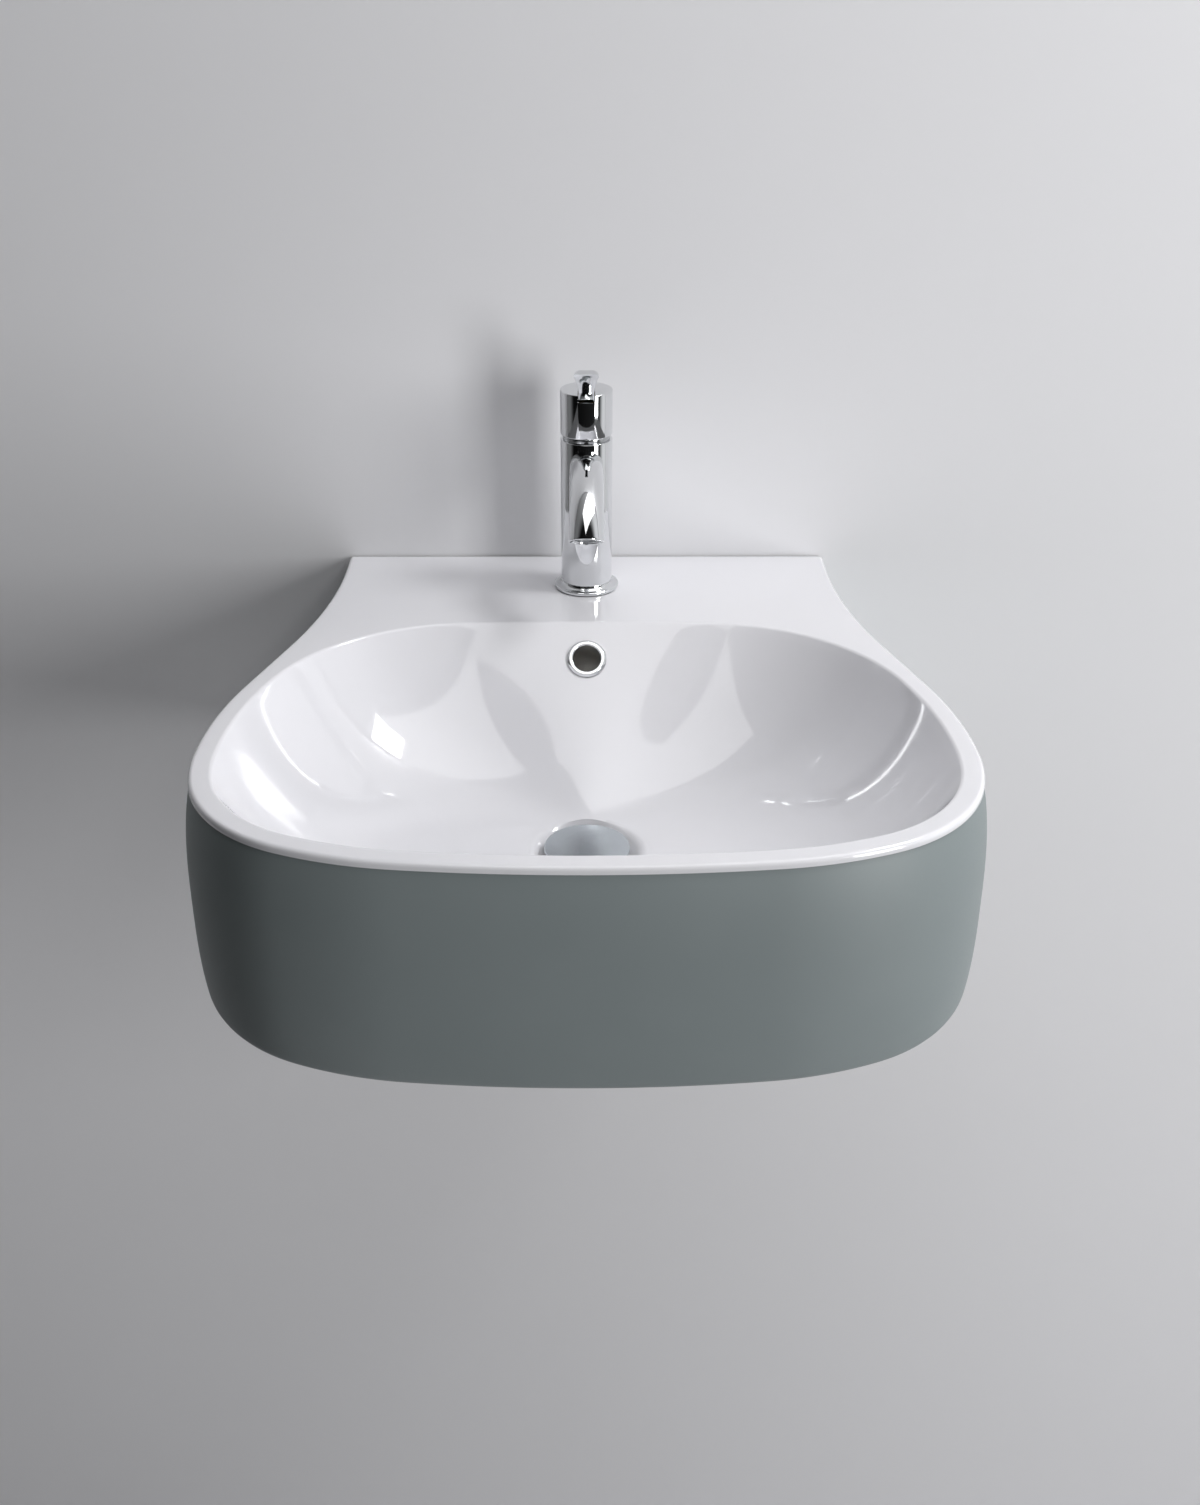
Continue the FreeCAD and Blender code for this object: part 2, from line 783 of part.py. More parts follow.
def waste_body():
    """Flanged and slotted tail with the bridge that carries the click sleeve."""
    bore = waste_radius - waste_wall
    low = waste_top - waste_length
    groove = nut_low - waste_groove_gap
    body = turned([
        (bore, low),
        (waste_radius, low),
        (waste_radius, groove - waste_groove),
        (waste_radius - waste_groove_depth, groove - waste_groove),
        (waste_radius - waste_groove_depth, groove),
        (waste_radius, groove),
        (waste_radius, waste_seat + waste_gasket),
        (waste_flange_radius, waste_seat + waste_gasket),
        (waste_flange_radius, waste_top - waste_flange_bevel),
        (waste_flange_radius - waste_flange_bevel, waste_top),
        (bore + waste_mouth_bevel, waste_top),
        (bore, waste_top - waste_mouth_bevel),
    ], 0, waste_y)
    slot_top = waste_seat - waste_inlet_drop
    half = slot_width / 2
    end = waste_radius + over
    slot_low = slot_top - waste_inlet_height
    body = body.cut(block(-half, half, waste_y - end, waste_y + end, slot_low, slot_top))
    top = waste_top - bridge_drop
    low = top - bridge_height
    bridge = tube(bridge_boss, sleeve_radius, low, top, 0, waste_y)
    inner = sleeve_radius + bridge_root
    outer = bore + bridge_root
    for turn in bridge_webs_deg:
        web = block(inner, outer, -bridge_web / 2, bridge_web / 2, low, top)
        web.rotate(V(0, 0, 0), Z_AXIS, turn)
        web.translate(V(0, waste_y, 0))
        bridge = bridge.fuse(web)
    return body.fuse(bridge).removeSplitter()


def waste_bottom_gasket():
    """Tapered rubber ring under the ceramic boss."""
    return turned([
        (waste_radius, boss_low - gasket_height),
        (gasket_radius, boss_low - gasket_height),
        (gasket_radius, boss_low - gasket_height / 2),
        (gasket_radius - gasket_taper, boss_low),
        (waste_radius, boss_low),
    ], 0, waste_y)


def waste_slip_washer():
    """Plastic washer between the gasket and the backnut."""
    top = boss_low - gasket_height
    return tube(gasket_radius, waste_radius, top - slip_washer, top, 0, waste_y)


def waste_backnut():
    """Hexagonal backnut that clamps the waste to the ceramic."""
    top = nut_low + backnut_height
    nut = hexagon(backnut_across, nut_low, top, 0, waste_y)
    flat = backnut_across / 2
    limit = turned([
        (0, nut_low),
        (flat, nut_low),
        (flat + backnut_corner, nut_low + backnut_bevel),
        (flat + backnut_corner, top),
        (0, top),
    ], 0, waste_y)
    return nut.common(limit).cut(cylinder(waste_radius, nut_low - over, top + over, 0, waste_y))


def click_sleeve():
    """Sleeve of the click mechanism, screwed into the bridge, closed below."""
    sleeve = tube(sleeve_radius, sleeve_bore, sleeve_low, sleeve_top, 0, waste_y)
    floor = cylinder(sleeve_radius, sleeve_low, sleeve_low + sleeve_floor, 0, waste_y)
    return sleeve.fuse(floor).removeSplitter()


def click_plunger():
    """Round plunger that carries the cap and slides in the sleeve."""
    low = cap_under - plunger_length
    rod = cylinder(plunger_radius, low, cap_under, 0, waste_y)
    return rod.makeChamfer(plunger_bevel, [e for e in rod.Edges if e.BoundBox.ZMax < low + 0.1])


def click_spring():
    """Coil spring under the plunger."""
    low = sleeve_low + sleeve_floor + spring_wire
    high = cap_under - plunger_length - spring_wire
    helix = Part.makeHelix((high - low) / spring_turns, high - low, spring_radius)
    start = V(spring_radius, 0, 0)
    section = Part.Wire(Part.makeCircle(spring_wire, start, Y_AXIS))
    coil = Part.Wire(helix.Edges).makePipeShell([section], True, True)
    coil.translate(V(0, waste_y, low))
    return coil


def waste_cap():
    """Flat round cap over the waste, with a threaded boss for the plunger."""
    top = cap_under + cap_thickness
    return turned([
        (plunger_radius, cap_under - cap_boss_height),
        (cap_boss, cap_under - cap_boss_height),
        (cap_boss, cap_under),
        (cap_radius - cap_bevel, cap_under),
        (cap_radius, cap_under + cap_bevel),
        (cap_radius, top - cap_bevel),
        (cap_radius - cap_bevel, top),
        (0, top),
        (0, cap_under),
        (plunger_radius, cap_under),
    ], 0, waste_y)


def waste_cap_seal():
    """Rubber ring under the cap."""
    return tube(cap_seal_outer, cap_seal_inner, cap_under - cap_seal_height, cap_under, 0, waste_y)


# ---------------------------------------------------------------- tap body and fixing

def tap_bar(radius, z0, z1, x=0.0, y=0.0):
    """Upright bar placed from the tap's axis, with heights above the deck."""
    return cylinder(radius, above_deck(z0), above_deck(z1), x, tap_y + y)


def tap_ring(outer, inner, z0, z1, x=0.0, y=0.0):
    """Upright ring placed from the tap's axis, with heights above the deck."""
    return tube(outer, inner, above_deck(z0), above_deck(z1), x, tap_y + y)


def tap_turned(profile):
    """Solid turned about the tap's axis, with heights above the deck."""
    return turned([(r, above_deck(z)) for r, z in profile], 0, tap_y)


def inlet_places():
    """Plan places of the two inlets from the tap's axis."""
    return ((-inlet_x, inlet_y), (inlet_x, inlet_y))


def stud_places():
    """Plan places of the two fixing studs from the tap's axis."""
    return ((-stud_x, -stud_y), (stud_x, -stud_y))


def tap_body():
    """Body with the cartridge seat, the water passages, the inlets and the stud holes."""
    seat = cartridge_seat
    bore = cartridge_radius + cartridge_clearance
    nut_bore = neck_radius - neck_wall
    body = tap_turned([
        (0, -spigot_drop),
        (spigot_radius, -spigot_drop),
        (spigot_radius, body_bottom),
        (tap_radius - edge_break, body_bottom),
        (tap_radius, body_bottom + edge_break),
        (tap_radius, body_top - edge_break),
        (tap_radius - edge_break, body_top),
        (neck_radius, body_top),
        (neck_radius, neck_top),
        (nut_bore, neck_top),
        (nut_bore, seat + cartridge_height),
        (bore, seat + cartridge_height),
        (bore, seat),
        (0, seat),
    ])
    cuts = []
    for x, y in inlet_places():
        cuts.append(tap_bar(inlet_radius, -spigot_drop - over, -spigot_drop + inlet_depth, x, y))
        cuts.append(tap_bar(passage_radius, 0, seat + over, x, y))
    for x, y in stud_places():
        cuts.append(tap_bar(stud_radius, -spigot_drop - over, -spigot_drop + stud_grip, x, y))
    end = tap_y - tap_radius - over
    cuts.append(crosswise(spout_bore, end, tap_y - over, 0, above_deck(spout_height)))
    cuts.append(tap_bar(passage_radius, spout_height, seat + over, 0, outlet_y))
    return body.cut(cuts)


def tap_base_ring():
    """Ring that the body stands on, with a hollow throat above a low lip."""
    low = base_seal
    high = body_bottom
    start = V(base_ring_radius - edge_break, 0, low + base_ring_lip)
    end = V(tap_radius, 0, high)
    middle = V((start.x + end.x) / 2 - base_ring_hollow, 0, (start.z + end.z - base_ring_hollow) / 2)
    inner = spigot_radius + base_ring_clearance
    corners = [V(inner, 0, high), V(inner, 0, low), V(base_ring_radius, 0, low)]
    corners.append(V(base_ring_radius, 0, start.z - edge_break))
    sides = Part.makePolygon([end] + corners + [start]).Edges
    outline = Part.Wire(sides + [Part.Arc(start, middle, end).toShape()])
    ring = Part.Face(outline).revolve(V(0, 0, 0), Z_AXIS, 360)
    ring.translate(V(0, tap_y, rim_z))
    return ring


def tap_base_seal():
    """Thin rubber ring between the base ring and the deck."""
    outer = base_ring_radius - base_seal_margin
    return tap_ring(outer, tap_hole_radius + base_seal_margin, 0, base_seal)


def fixing_studs():
    """Two threaded studs from the body down through the deck."""
    top = -spigot_drop + stud_grip
    low = top - stud_length
    return Part.makeCompound([tap_bar(stud_radius, low, top, x, y) for x, y in stud_places()])


def horseshoe(z0, z1):
    """Plate with holes for the studs and a mouth at the back for the hoses."""
    plate = tap_bar(clamp_radius, z0, z1)
    half = inlet_x + inlet_radius + clamp_hose_gap
    front = tap_y + inlet_y - inlet_radius - clamp_hose_gap
    low = above_deck(z0) - over
    high = above_deck(z1) + over
    mouth = block(-half, half, front, tap_y + clamp_radius + over, low, high)
    holes = [tap_bar(stud_radius, z0 - over, z1 + over, x, y) for x, y in stud_places()]
    return plate.cut([mouth] + holes)


clamp_top = -deck_thickness - tap_pad_height
plate_top = clamp_top - clamp_rubber
stud_nut_top = plate_top - clamp_plate


def clamp_rubber_pad():
    """Rubber pad under the deck."""
    return horseshoe(plate_top, clamp_top)


def clamp_steel_plate():
    """Steel plate that presses the rubber pad against the deck."""
    return horseshoe(stud_nut_top, plate_top)


def stud_nuts():
    """Long nuts on the two studs."""
    nuts = []
    for x, y in stud_places():
        low = stud_nut_top - stud_nut_height
        nut = hexagon(stud_nut_across, above_deck(low), above_deck(stud_nut_top), x, tap_y + y)
        nuts.append(nut.cut(tap_bar(stud_radius, low - over, stud_nut_top + over, x, y)))
    return Part.makeCompound(nuts)


# ---------------------------------------------------------------- spout and aerator

def spout_run(radius):
    """Straight run and bend of the spout, for one radius."""
    height = above_deck(spout_height)
    straight = Part.makeCylinder(radius, spout_straight, V(0, tap_y, height), -Y_AXIS)
    bend_start = V(0, tap_y - spout_straight, height)
    face = Part.Face(Part.Wire(Part.makeCircle(radius, bend_start, -Y_AXIS)))
    pivot = bend_start - Z_AXIS * spout_bend_radius
    return straight.fuse(face.revolve(pivot, X_AXIS, spout_bend_deg))


def outlet_axis():
    """Direction of the water at the outlet."""
    bend = math.radians(spout_bend_deg)
    return V(0, -math.cos(bend), -math.sin(bend))


def outlet_point():
    """Centre of the spout's open end."""
    bend = math.radians(spout_bend_deg)
    y = tap_y - spout_straight - spout_bend_radius * math.sin(bend)
    return V(0, y, above_deck(spout_height - spout_bend_radius * (1 - math.cos(bend))))


def at_outlet(shape):
    """Place a shape built upright at the origin in the outlet, its +Z up into the spout."""
    shape.Placement = FreeCAD.Placement(outlet_point(), FreeCAD.Rotation(Z_AXIS, -outlet_axis()))
    return shape


aerator_top = aerator_inset + aerator_length
washer_top = aerator_top + aerator_washer


def spout():
    """Curved spout, cut to sit on the round body, with a threaded mouth for the aerator."""
    shape = spout_run(spout_radius).cut(spout_run(spout_bore))
    shape = shape.cut(at_outlet(cylinder(aerator_radius + thread_clearance, -over, washer_top)))
    return shape.cut(tap_bar(tap_radius, 0, body_top + spout_radius))


def aerator_housing():
    """Threaded ring that holds the aerator in the spout."""
    inner = aerator_radius - aerator_wall
    lip_top = aerator_inset + aerator_lip_height
    ring = turned([
        (inner - aerator_lip, aerator_inset),
        (aerator_radius - edge_break, aerator_inset),
        (aerator_radius, aerator_inset + edge_break),
        (aerator_radius, aerator_top),
        (inner, aerator_top),
        (inner, lip_top),
        (inner - aerator_lip, lip_top),
    ])
    return at_outlet(ring)


def aerator_insert():
    """Plastic insert with a ring of flow holes and a centre hole."""
    low = aerator_inset + aerator_lip_height
    insert = cylinder(aerator_radius - aerator_wall, low, aerator_top)
    places = [(0, 0)]
    for i in range(aerator_cells):
        angle = 2 * math.pi * i / aerator_cells
        places.append((aerator_cell_ring * math.cos(angle), aerator_cell_ring * math.sin(angle)))
    holes = [cylinder(aerator_cell, low - over, aerator_top + over, x, y) for x, y in places]
    return at_outlet(insert.cut(holes))


def aerator_washer_ring():
    """Rubber washer between the aerator and the spout."""
    return at_outlet(tube(aerator_radius, washer_bore, aerator_top, washer_top))


# ---------------------------------------------------------------- cartridge

floor_top = cartridge_seat + cartridge_floor
disc_top = floor_top + disc_height
moving_low = disc_top + running_gap
slider_low = moving_low + moving_disc_height
cartridge_top = cartridge_seat + cartridge_height


def port_places():
    """Plan places of the two inlet ports and the outlet port."""
    return inlet_places() + ((0, outlet_y),)


def ports(radius, z0, z1):
    """Bars through the three ports."""
    return [tap_bar(radius, z0, z1, x, y) for x, y in port_places()]


def cartridge_housing():
    """Round housing with a ported floor and a turned-in top."""
    shell = tap_turned([
        (0, cartridge_seat),
        (cartridge_radius, cartridge_seat),
        (cartridge_radius, cartridge_top),
        (turret_radius + running_gap, cartridge_top),
        (turret_radius + running_gap, cartridge_top - cartridge_lip),
        (cartridge_bore, cartridge_top - cartridge_lip),
        (cartridge_bore, floor_top),
        (0, floor_top),
    ])
    shell = shell.cut(ports(passage_radius, cartridge_seat - over, floor_top + over))
    seal_top = cartridge_seat + port_seal_height
    return shell.cut(ports(port_seal_radius, cartridge_seat - over, seal_top))


def port_seals():
    """Three rubber rings under the housing's floor."""
    top = cartridge_seat + port_seal_height
    seals = []
    for x, y in port_places():
        seals.append(tap_ring(port_seal_radius, passage_radius, cartridge_seat, top, x, y))
    return Part.makeCompound(seals)


def fixed_disc():
    """Ceramic disc with the three ports."""
    holes = ports(passage_radius, floor_top - over, disc_top + over)
    return tap_bar(disc_radius, floor_top, disc_top).cut(holes)


def moving_disc():
    """Ceramic disc that slides over the fixed one, with a mixing pocket below."""
    disc = tap_bar(moving_disc_radius, moving_low, slider_low)
    top = moving_low + moving_disc_height / 2
    return disc.cut(tap_bar(mixing_pocket, moving_low - over, top, 0, mixing_pocket_y))


def disc_slider():
    """Plastic slider on the moving disc, with a pocket for the stem's ball."""
    slider = tap_bar(slider_radius, slider_low, slider_low + slider_height)
    pocket = tap_bar(slider_pocket, slider_low + slider_floor, slider_low + slider_height + over)
    return slider.cut(pocket)


def sideways(radius, half):
    """Round bar along X on the stem's pivot, to a distance on each side of the middle."""
    start = V(-half, tap_y, above_deck(pivot_height))
    return Part.makeCylinder(radius, 2 * half, start, X_AXIS)


def turret():
    """Rotor of the cartridge, slotted for the stem and bored for the pivot pin."""
    shoulder = cartridge_top - cartridge_lip - running_gap
    body = tap_turned([
        (0, turret_bottom),
        (turret_shoulder, turret_bottom),
        (turret_shoulder, shoulder),
        (turret_radius, shoulder),
        (turret_radius, turret_top),
        (0, turret_top),
    ])
    half = stem_half + running_gap
    low = above_deck(turret_bottom) - over
    high = above_deck(turret_top) + over
    slot = block(-half, half, tap_y - turret_slot, tap_y + turret_slot, low, high)
    return body.cut([slot, sideways(pivot_radius, turret_shoulder + over)])


def pivot_pin():
    """Steel pin of the stem, held in the turret."""
    return sideways(pivot_radius, turret_radius - edge_break)


def cartridge_stem():
    """Square stem with a pivot hole and a ball that drives the slider."""
    half = stem_half
    low = above_deck(stem_bottom)
    stem = block(-half, half, tap_y - half, tap_y + half, low, above_deck(stem_top))
    neck = tap_bar(stem_neck, stem_ball_height, stem_bottom + over)
    ball = Part.makeSphere(stem_ball_radius, V(0, tap_y, above_deck(stem_ball_height)))
    hole = sideways(pivot_radius + running_gap, half + over)
    return stem.fuse([neck, ball]).cut(hole).removeSplitter()


def cartridge_nut():
    """Threaded ring that holds the cartridge down in the neck."""
    outer = neck_radius - neck_wall
    top = cartridge_top + cartridge_nut_height
    ring = tap_ring(outer, cartridge_nut_bore, cartridge_top, top)
    start = cartridge_nut_bore - over
    end = outer - nut_notch_rim
    half = nut_notch / 2
    notches = []
    for turn in range(0, 360, 90):
        notch = block(start, end, -half, half, -nut_notch_depth, over)
        notch.rotate(V(0, 0, 0), Z_AXIS, turn)
        notch.translate(V(0, tap_y, above_deck(top)))
        notches.append(notch)
    return ring.cut(notches)


# ---------------------------------------------------------------- head and lever

def groove_ring():
    """Plain ring in the groove between the body and the turning head."""
    return tap_ring(groove_radius, neck_radius, body_top, body_top + groove_height)


head_low = body_top + groove_height + head_gap


def head_cap():
    """Turning cap over the cartridge, slotted in front and on top for the lever."""
    inner = tap_radius - head_wall
    cap = tap_turned([
        (inner, head_low),
        (tap_radius - edge_break, head_low),
        (tap_radius, head_low + edge_break),
        (tap_radius, head_top - head_edge),
        (tap_radius - head_edge, head_top),
        (0, head_top),
        (0, head_top - head_top_wall),
        (inner, head_top - head_top_wall),
    ])
    half = slot_half_width
    low = above_deck(slot_bottom)
    high = above_deck(head_top) + over
    return cap.cut(block(-half, half, tap_y - tap_radius - over, tap_y + slot_back, low, high))


def head_yoke():
    """Ring that ties the cap to the top of the turret, slotted behind for the lever's hub."""
    top = turret_top + yoke_height
    ring = tap_ring(tap_radius - head_wall, yoke_bore, turret_top, top)
    half = slot_half_width
    low = above_deck(turret_top) - over
    return ring.cut(block(-half, half, tap_y, tap_y + yoke_slot, low, above_deck(top) + over))


def lever_profile():
    """Side view of the lever as (y, height) points: hub, root through the slot, leaning paddle."""
    front = tap_y - lever_root_front
    tip = front - lever_lean
    back = front + lever_thickness
    return [
        (tap_y - hub_front, hub_bottom),
        (tap_y + hub_back, hub_bottom),
        (tap_y + hub_back, hub_top - hub_break),
        (tap_y + hub_back - hub_break, hub_top),
        (tap_y + hub_crown, hub_top),
        (back + 2 * lever_break, lever_root_low + lever_thickness - hub_break / 2),
        (back, lever_flare),
        (tip + lever_tip_thickness, lever_tip - lever_break),
        (tip + lever_tip_thickness - lever_break, lever_tip),
        (tip, lever_tip - lever_break),
        (front, lever_root_low + lever_break),
        (front + lever_break, lever_root_low),
        (tap_y - hub_front - lever_break, lever_root_low - hub_break),
        (tap_y - hub_front, hub_top - hub_break),
    ]


def lever_front():
    """Front view of the lever: straight root, hollow widening sides, round top."""
    wide = lever_tip_width / 2
    root = lever_root_width / 2
    low = above_deck(hub_bottom) - over
    flare = above_deck(lever_flare)
    shoulder = above_deck(lever_shoulder)
    middle = (flare + shoulder) / 2
    bend = (root + wide) / 2 - lever_flare_sag
    top = above_deck(lever_tip) + over
    right_foot = V(root, 0, low)
    left_foot = V(-root, 0, low)
    right_root = V(root, 0, flare)
    left_root = V(-root, 0, flare)
    right_tip = V(wide, 0, shoulder)
    left_tip = V(-wide, 0, shoulder)
    crown = V(0, 0, max(shoulder + lever_crown, top))
    return Part.Wire([
        Part.LineSegment(left_foot, right_foot).toShape(),
        Part.LineSegment(right_foot, right_root).toShape(),
        Part.Arc(right_root, V(bend, 0, middle), right_tip).toShape(),
        Part.Arc(right_tip, crown, left_tip).toShape(),
        Part.Arc(left_tip, V(-bend, 0, middle), left_root).toShape(),
        Part.LineSegment(left_root, left_foot).toShape(),
    ])


def lever():
    """Bent lever: hub on the stem, root through the slot, paddle that widens and leans forward."""
    wide = lever_tip_width / 2
    points = [V(-wide, y, above_deck(z)) for y, z in lever_profile()]
    side = Part.Face(Part.makePolygon(points + [points[0]])).extrude(V(lever_tip_width, 0, 0))
    front_view = Part.Face(lever_front())
    front_view.translate(V(0, -rim_depth, 0))
    shape = side.common(front_view.extrude(V(0, rim_depth, 0)))
    half = stem_half + socket_clearance
    low = above_deck(hub_bottom) - over
    high = above_deck(stem_top) + socket_clearance
    socket = block(-half, half, tap_y - half, tap_y + half, low, high)
    front = tap_y - hub_front - over
    return shape.cut([socket, crosswise(grub_radius, front, tap_y, 0, above_deck(grub_height))])


def lever_screw():
    """Grub screw through the hub, pressing on the stem, with a hexagon socket."""
    front = tap_y - hub_front
    height = above_deck(grub_height)
    socket = hexagon(grub_key, -over, grub_key_depth)
    socket.Placement = FreeCAD.Placement(V(0, front, height), FreeCAD.Rotation(Z_AXIS, Y_AXIS))
    return crosswise(grub_radius, front, tap_y - stem_half, 0, height).cut(socket)


def main():
    """Build every piece and write it under its own name."""
    os.makedirs("parts", exist_ok=True)
    pieces = {
        "ceramic_deck": ceramic_deck,
        "ceramic_rim": ceramic_rim,
        "ceramic_skirt": ceramic_skirt,
        "ceramic_back_wall": ceramic_back_wall,
        "ceramic_bowl": ceramic_bowl,
        "overflow_ring": overflow_ring,
        "overflow_seal": overflow_seal_ring,
        "wall_bushes": wall_bushes,
        "waste_body": waste_body,
        "waste_top_gasket": waste_top_gasket,
        "waste_bottom_gasket": waste_bottom_gasket,
        "waste_slip_washer": waste_slip_washer,
        "waste_backnut": waste_backnut,
        "click_sleeve": click_sleeve,
        "click_plunger": click_plunger,
        "click_spring": click_spring,
        "waste_cap": waste_cap,
        "waste_cap_seal": waste_cap_seal,
        "tap_body": tap_body,
        "tap_base_ring": tap_base_ring,
        "tap_base_seal": tap_base_seal,
        "fixing_studs": fixing_studs,
        "clamp_rubber": clamp_rubber_pad,
        "clamp_plate": clamp_steel_plate,
        "stud_nuts": stud_nuts,
        "spout": spout,
        "aerator_housing": aerator_housing,
        "aerator_insert": aerator_insert,
        "aerator_washer": aerator_washer_ring,
        "cartridge_housing": cartridge_housing,
        "port_seals": port_seals,
        "fixed_disc": fixed_disc,
        "moving_disc": moving_disc,
        "disc_slider": disc_slider,
        "turret": turret,
        "pivot_pin": pivot_pin,
        "cartridge_stem": cartridge_stem,
        "cartridge_nut": cartridge_nut,
        "groove_ring": groove_ring,
        "head_cap": head_cap,
        "head_yoke": head_yoke,
        "lever": lever,
        "lever_screw": lever_screw,
    }
    for name, build in pieces.items():
        shape = build()
        if not shape.isValid():
            raise ValueError(f"{name} is not a valid solid")
        shape.exportStep(f"parts/{name}.step")


if __name__ == "__main__":
    main()
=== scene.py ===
"""Wall hung basin with a mixer tap and a click waste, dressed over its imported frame.

Metres, in the frame of the part: +X to the right, +Y into the wall, +Z up, with the origin
midway between the two wall fixings on the wall.
"""
import bpy
import json
import logging
import math
from bisect import bisect_left
from dataclasses import dataclass, field
from enum import Enum
from mathutils import Matrix, Vector

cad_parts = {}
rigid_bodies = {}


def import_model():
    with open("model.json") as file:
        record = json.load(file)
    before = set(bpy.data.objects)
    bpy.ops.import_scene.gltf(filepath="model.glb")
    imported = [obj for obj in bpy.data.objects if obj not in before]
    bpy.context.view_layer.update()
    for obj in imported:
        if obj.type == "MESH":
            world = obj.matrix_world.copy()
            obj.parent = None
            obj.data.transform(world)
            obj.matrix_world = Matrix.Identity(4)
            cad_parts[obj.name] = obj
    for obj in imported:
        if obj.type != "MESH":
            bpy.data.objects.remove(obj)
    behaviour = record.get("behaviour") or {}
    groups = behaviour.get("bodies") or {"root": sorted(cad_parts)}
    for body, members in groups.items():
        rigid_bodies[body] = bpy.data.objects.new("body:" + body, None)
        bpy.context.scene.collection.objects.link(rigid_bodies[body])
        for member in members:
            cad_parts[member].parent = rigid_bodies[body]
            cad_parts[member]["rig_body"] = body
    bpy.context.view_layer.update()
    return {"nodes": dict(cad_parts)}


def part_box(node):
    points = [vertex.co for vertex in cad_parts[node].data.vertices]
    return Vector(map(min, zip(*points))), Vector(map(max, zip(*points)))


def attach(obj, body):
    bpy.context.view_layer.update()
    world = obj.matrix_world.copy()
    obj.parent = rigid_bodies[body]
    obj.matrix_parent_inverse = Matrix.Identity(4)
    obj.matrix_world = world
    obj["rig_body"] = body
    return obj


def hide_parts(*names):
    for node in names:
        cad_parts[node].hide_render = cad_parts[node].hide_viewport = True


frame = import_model()
LOG = logging.getLogger("basin")
MM = 0.001
ON_AXIS = 1e-6
NEARLY_STRAIGHT = 0.12
CORNER_SHARE = 0.45
Profile = list[tuple[float, float]]
Pair = tuple[float, float]


# ---------------------------------------------------------------- modelling by hand

class Carve(Enum):
    """How a tool shape changes a piece."""

    CUT = "DIFFERENCE"
    JOIN = "UNION"
    KEEP = "INTERSECT"


def mm(*values: float) -> Vector:
    """Point given in millimetres."""
    return Vector(values) * MM


def toward(angle: float) -> Vector:
    """Plan direction at an angle in degrees from the front, turning to the right."""
    return Vector((math.sin(math.radians(angle)), -math.cos(math.radians(angle)), 0))


def deselect() -> None:
    """Leave nothing selected, so that an operator acts on its own piece only."""
    if bpy.context.object and bpy.context.object.mode != "OBJECT":
        bpy.ops.object.mode_set(mode="OBJECT")
    bpy.ops.object.select_all(action="DESELECT")


def pick(piece: bpy.types.Object) -> None:
    """Make one piece the selected and active one."""
    deselect()
    piece.select_set(True)
    bpy.context.view_layer.objects.active = piece


def shape_points(piece: bpy.types.Object, points: list[Vector]) -> None:
    """Move the points of a piece to new places.

    Args:
        piece: the piece, in object mode.
        points: one place for each of its points, in their order.
    """
    piece.data.vertices.foreach_set("co", [value for point in points for value in point])
    piece.data.update()


def close_up(piece: bpy.types.Object, gap: float = 0.002 * MM) -> None:
    """Merge points that touch, drop loose edges and turn the faces outwards.

    Args:
        piece: the piece to close.
        gap: distance under which points are merged.
    """
    pick(piece)
    bpy.ops.object.mode_set(mode="EDIT")
    bpy.ops.mesh.select_all(action="SELECT")
    bpy.ops.mesh.remove_doubles(threshold=gap)
    bpy.ops.mesh.delete_loose(use_faces=False)
    bpy.ops.mesh.select_all(action="SELECT")
    bpy.ops.mesh.normals_make_consistent(inside=False)
    bpy.ops.object.mode_set(mode="OBJECT")


def named(name: str) -> bpy.types.Object:
    """Name the piece just made, put its place into its mesh and return it."""
    piece = bpy.context.object
    piece.name = name
    piece.data.name = name
    bpy.ops.object.transform_apply(location=True, rotation=True, scale=True)
    return piece


def ring_stack(name: str, rings: list[list[Vector]], closed: bool = True) -> bpy.types.Object:
    """Grid shaped into a stack of closed rings.

    Args:
        name: the piece's name.
        rings: the rings in order, each with the same number of points.
        closed: whether the last ring joins the first.

    Returns:
        The piece, whose faces carry their ring as an attribute named "ring".
    """
    deselect()
    around, along = len(rings[0]), len(rings) - (0 if closed else 1)
    bpy.ops.mesh.primitive_grid_add(x_subdivisions=around, y_subdivisions=along, size=1)
    piece = named(name)
    places, rows = [], []
    for vertex in piece.data.vertices:
        column = round((vertex.co.x + 0.5) * around)
        row = round((vertex.co.y + 0.5) * along)
        places.append(rings[row % len(rings)][column % around])
    for face in piece.data.polygons:
        rows.append(int((face.center.y + 0.5) * along))
    ring = piece.data.attributes.new("ring", "INT", "FACE")
    ring.data.foreach_set("value", rows)
    shape_points(piece, places)
    close_up(piece)
    return piece


def soften(profile: Profile, radius: float, steps: int = 5) -> Profile:
    """Round the corners of a closed profile.

    Args:
        profile: corner points.
        radius: largest radius of a rounded corner.
        steps: flats in each rounded corner.

    Returns:
        The rounded profile, with corners on the axis left sharp.
    """
    out: Profile = []
    for i, point in enumerate(profile):
        here = Vector(point)
        before = Vector(profile[i - 1]) - here
        after = Vector(profile[(i + 1) % len(profile)]) - here
        turn = math.pi - before.angle(after, math.pi)
        if here.x < ON_AXIS or turn < NEARLY_STRAIGHT:
            out.append(tuple(here))
            continue
        longest = min(before.length, after.length) * CORNER_SHARE
        reach = min(radius * math.tan(turn / 2), longest)
        start, end = here + before.normalized() * reach, here + after.normalized() * reach
        for k in range(steps + 1):
            t = k / steps
            out.append(tuple(start * (1 - t) ** 2 + here * (2 * t * (1 - t)) + end * t ** 2))
    return out


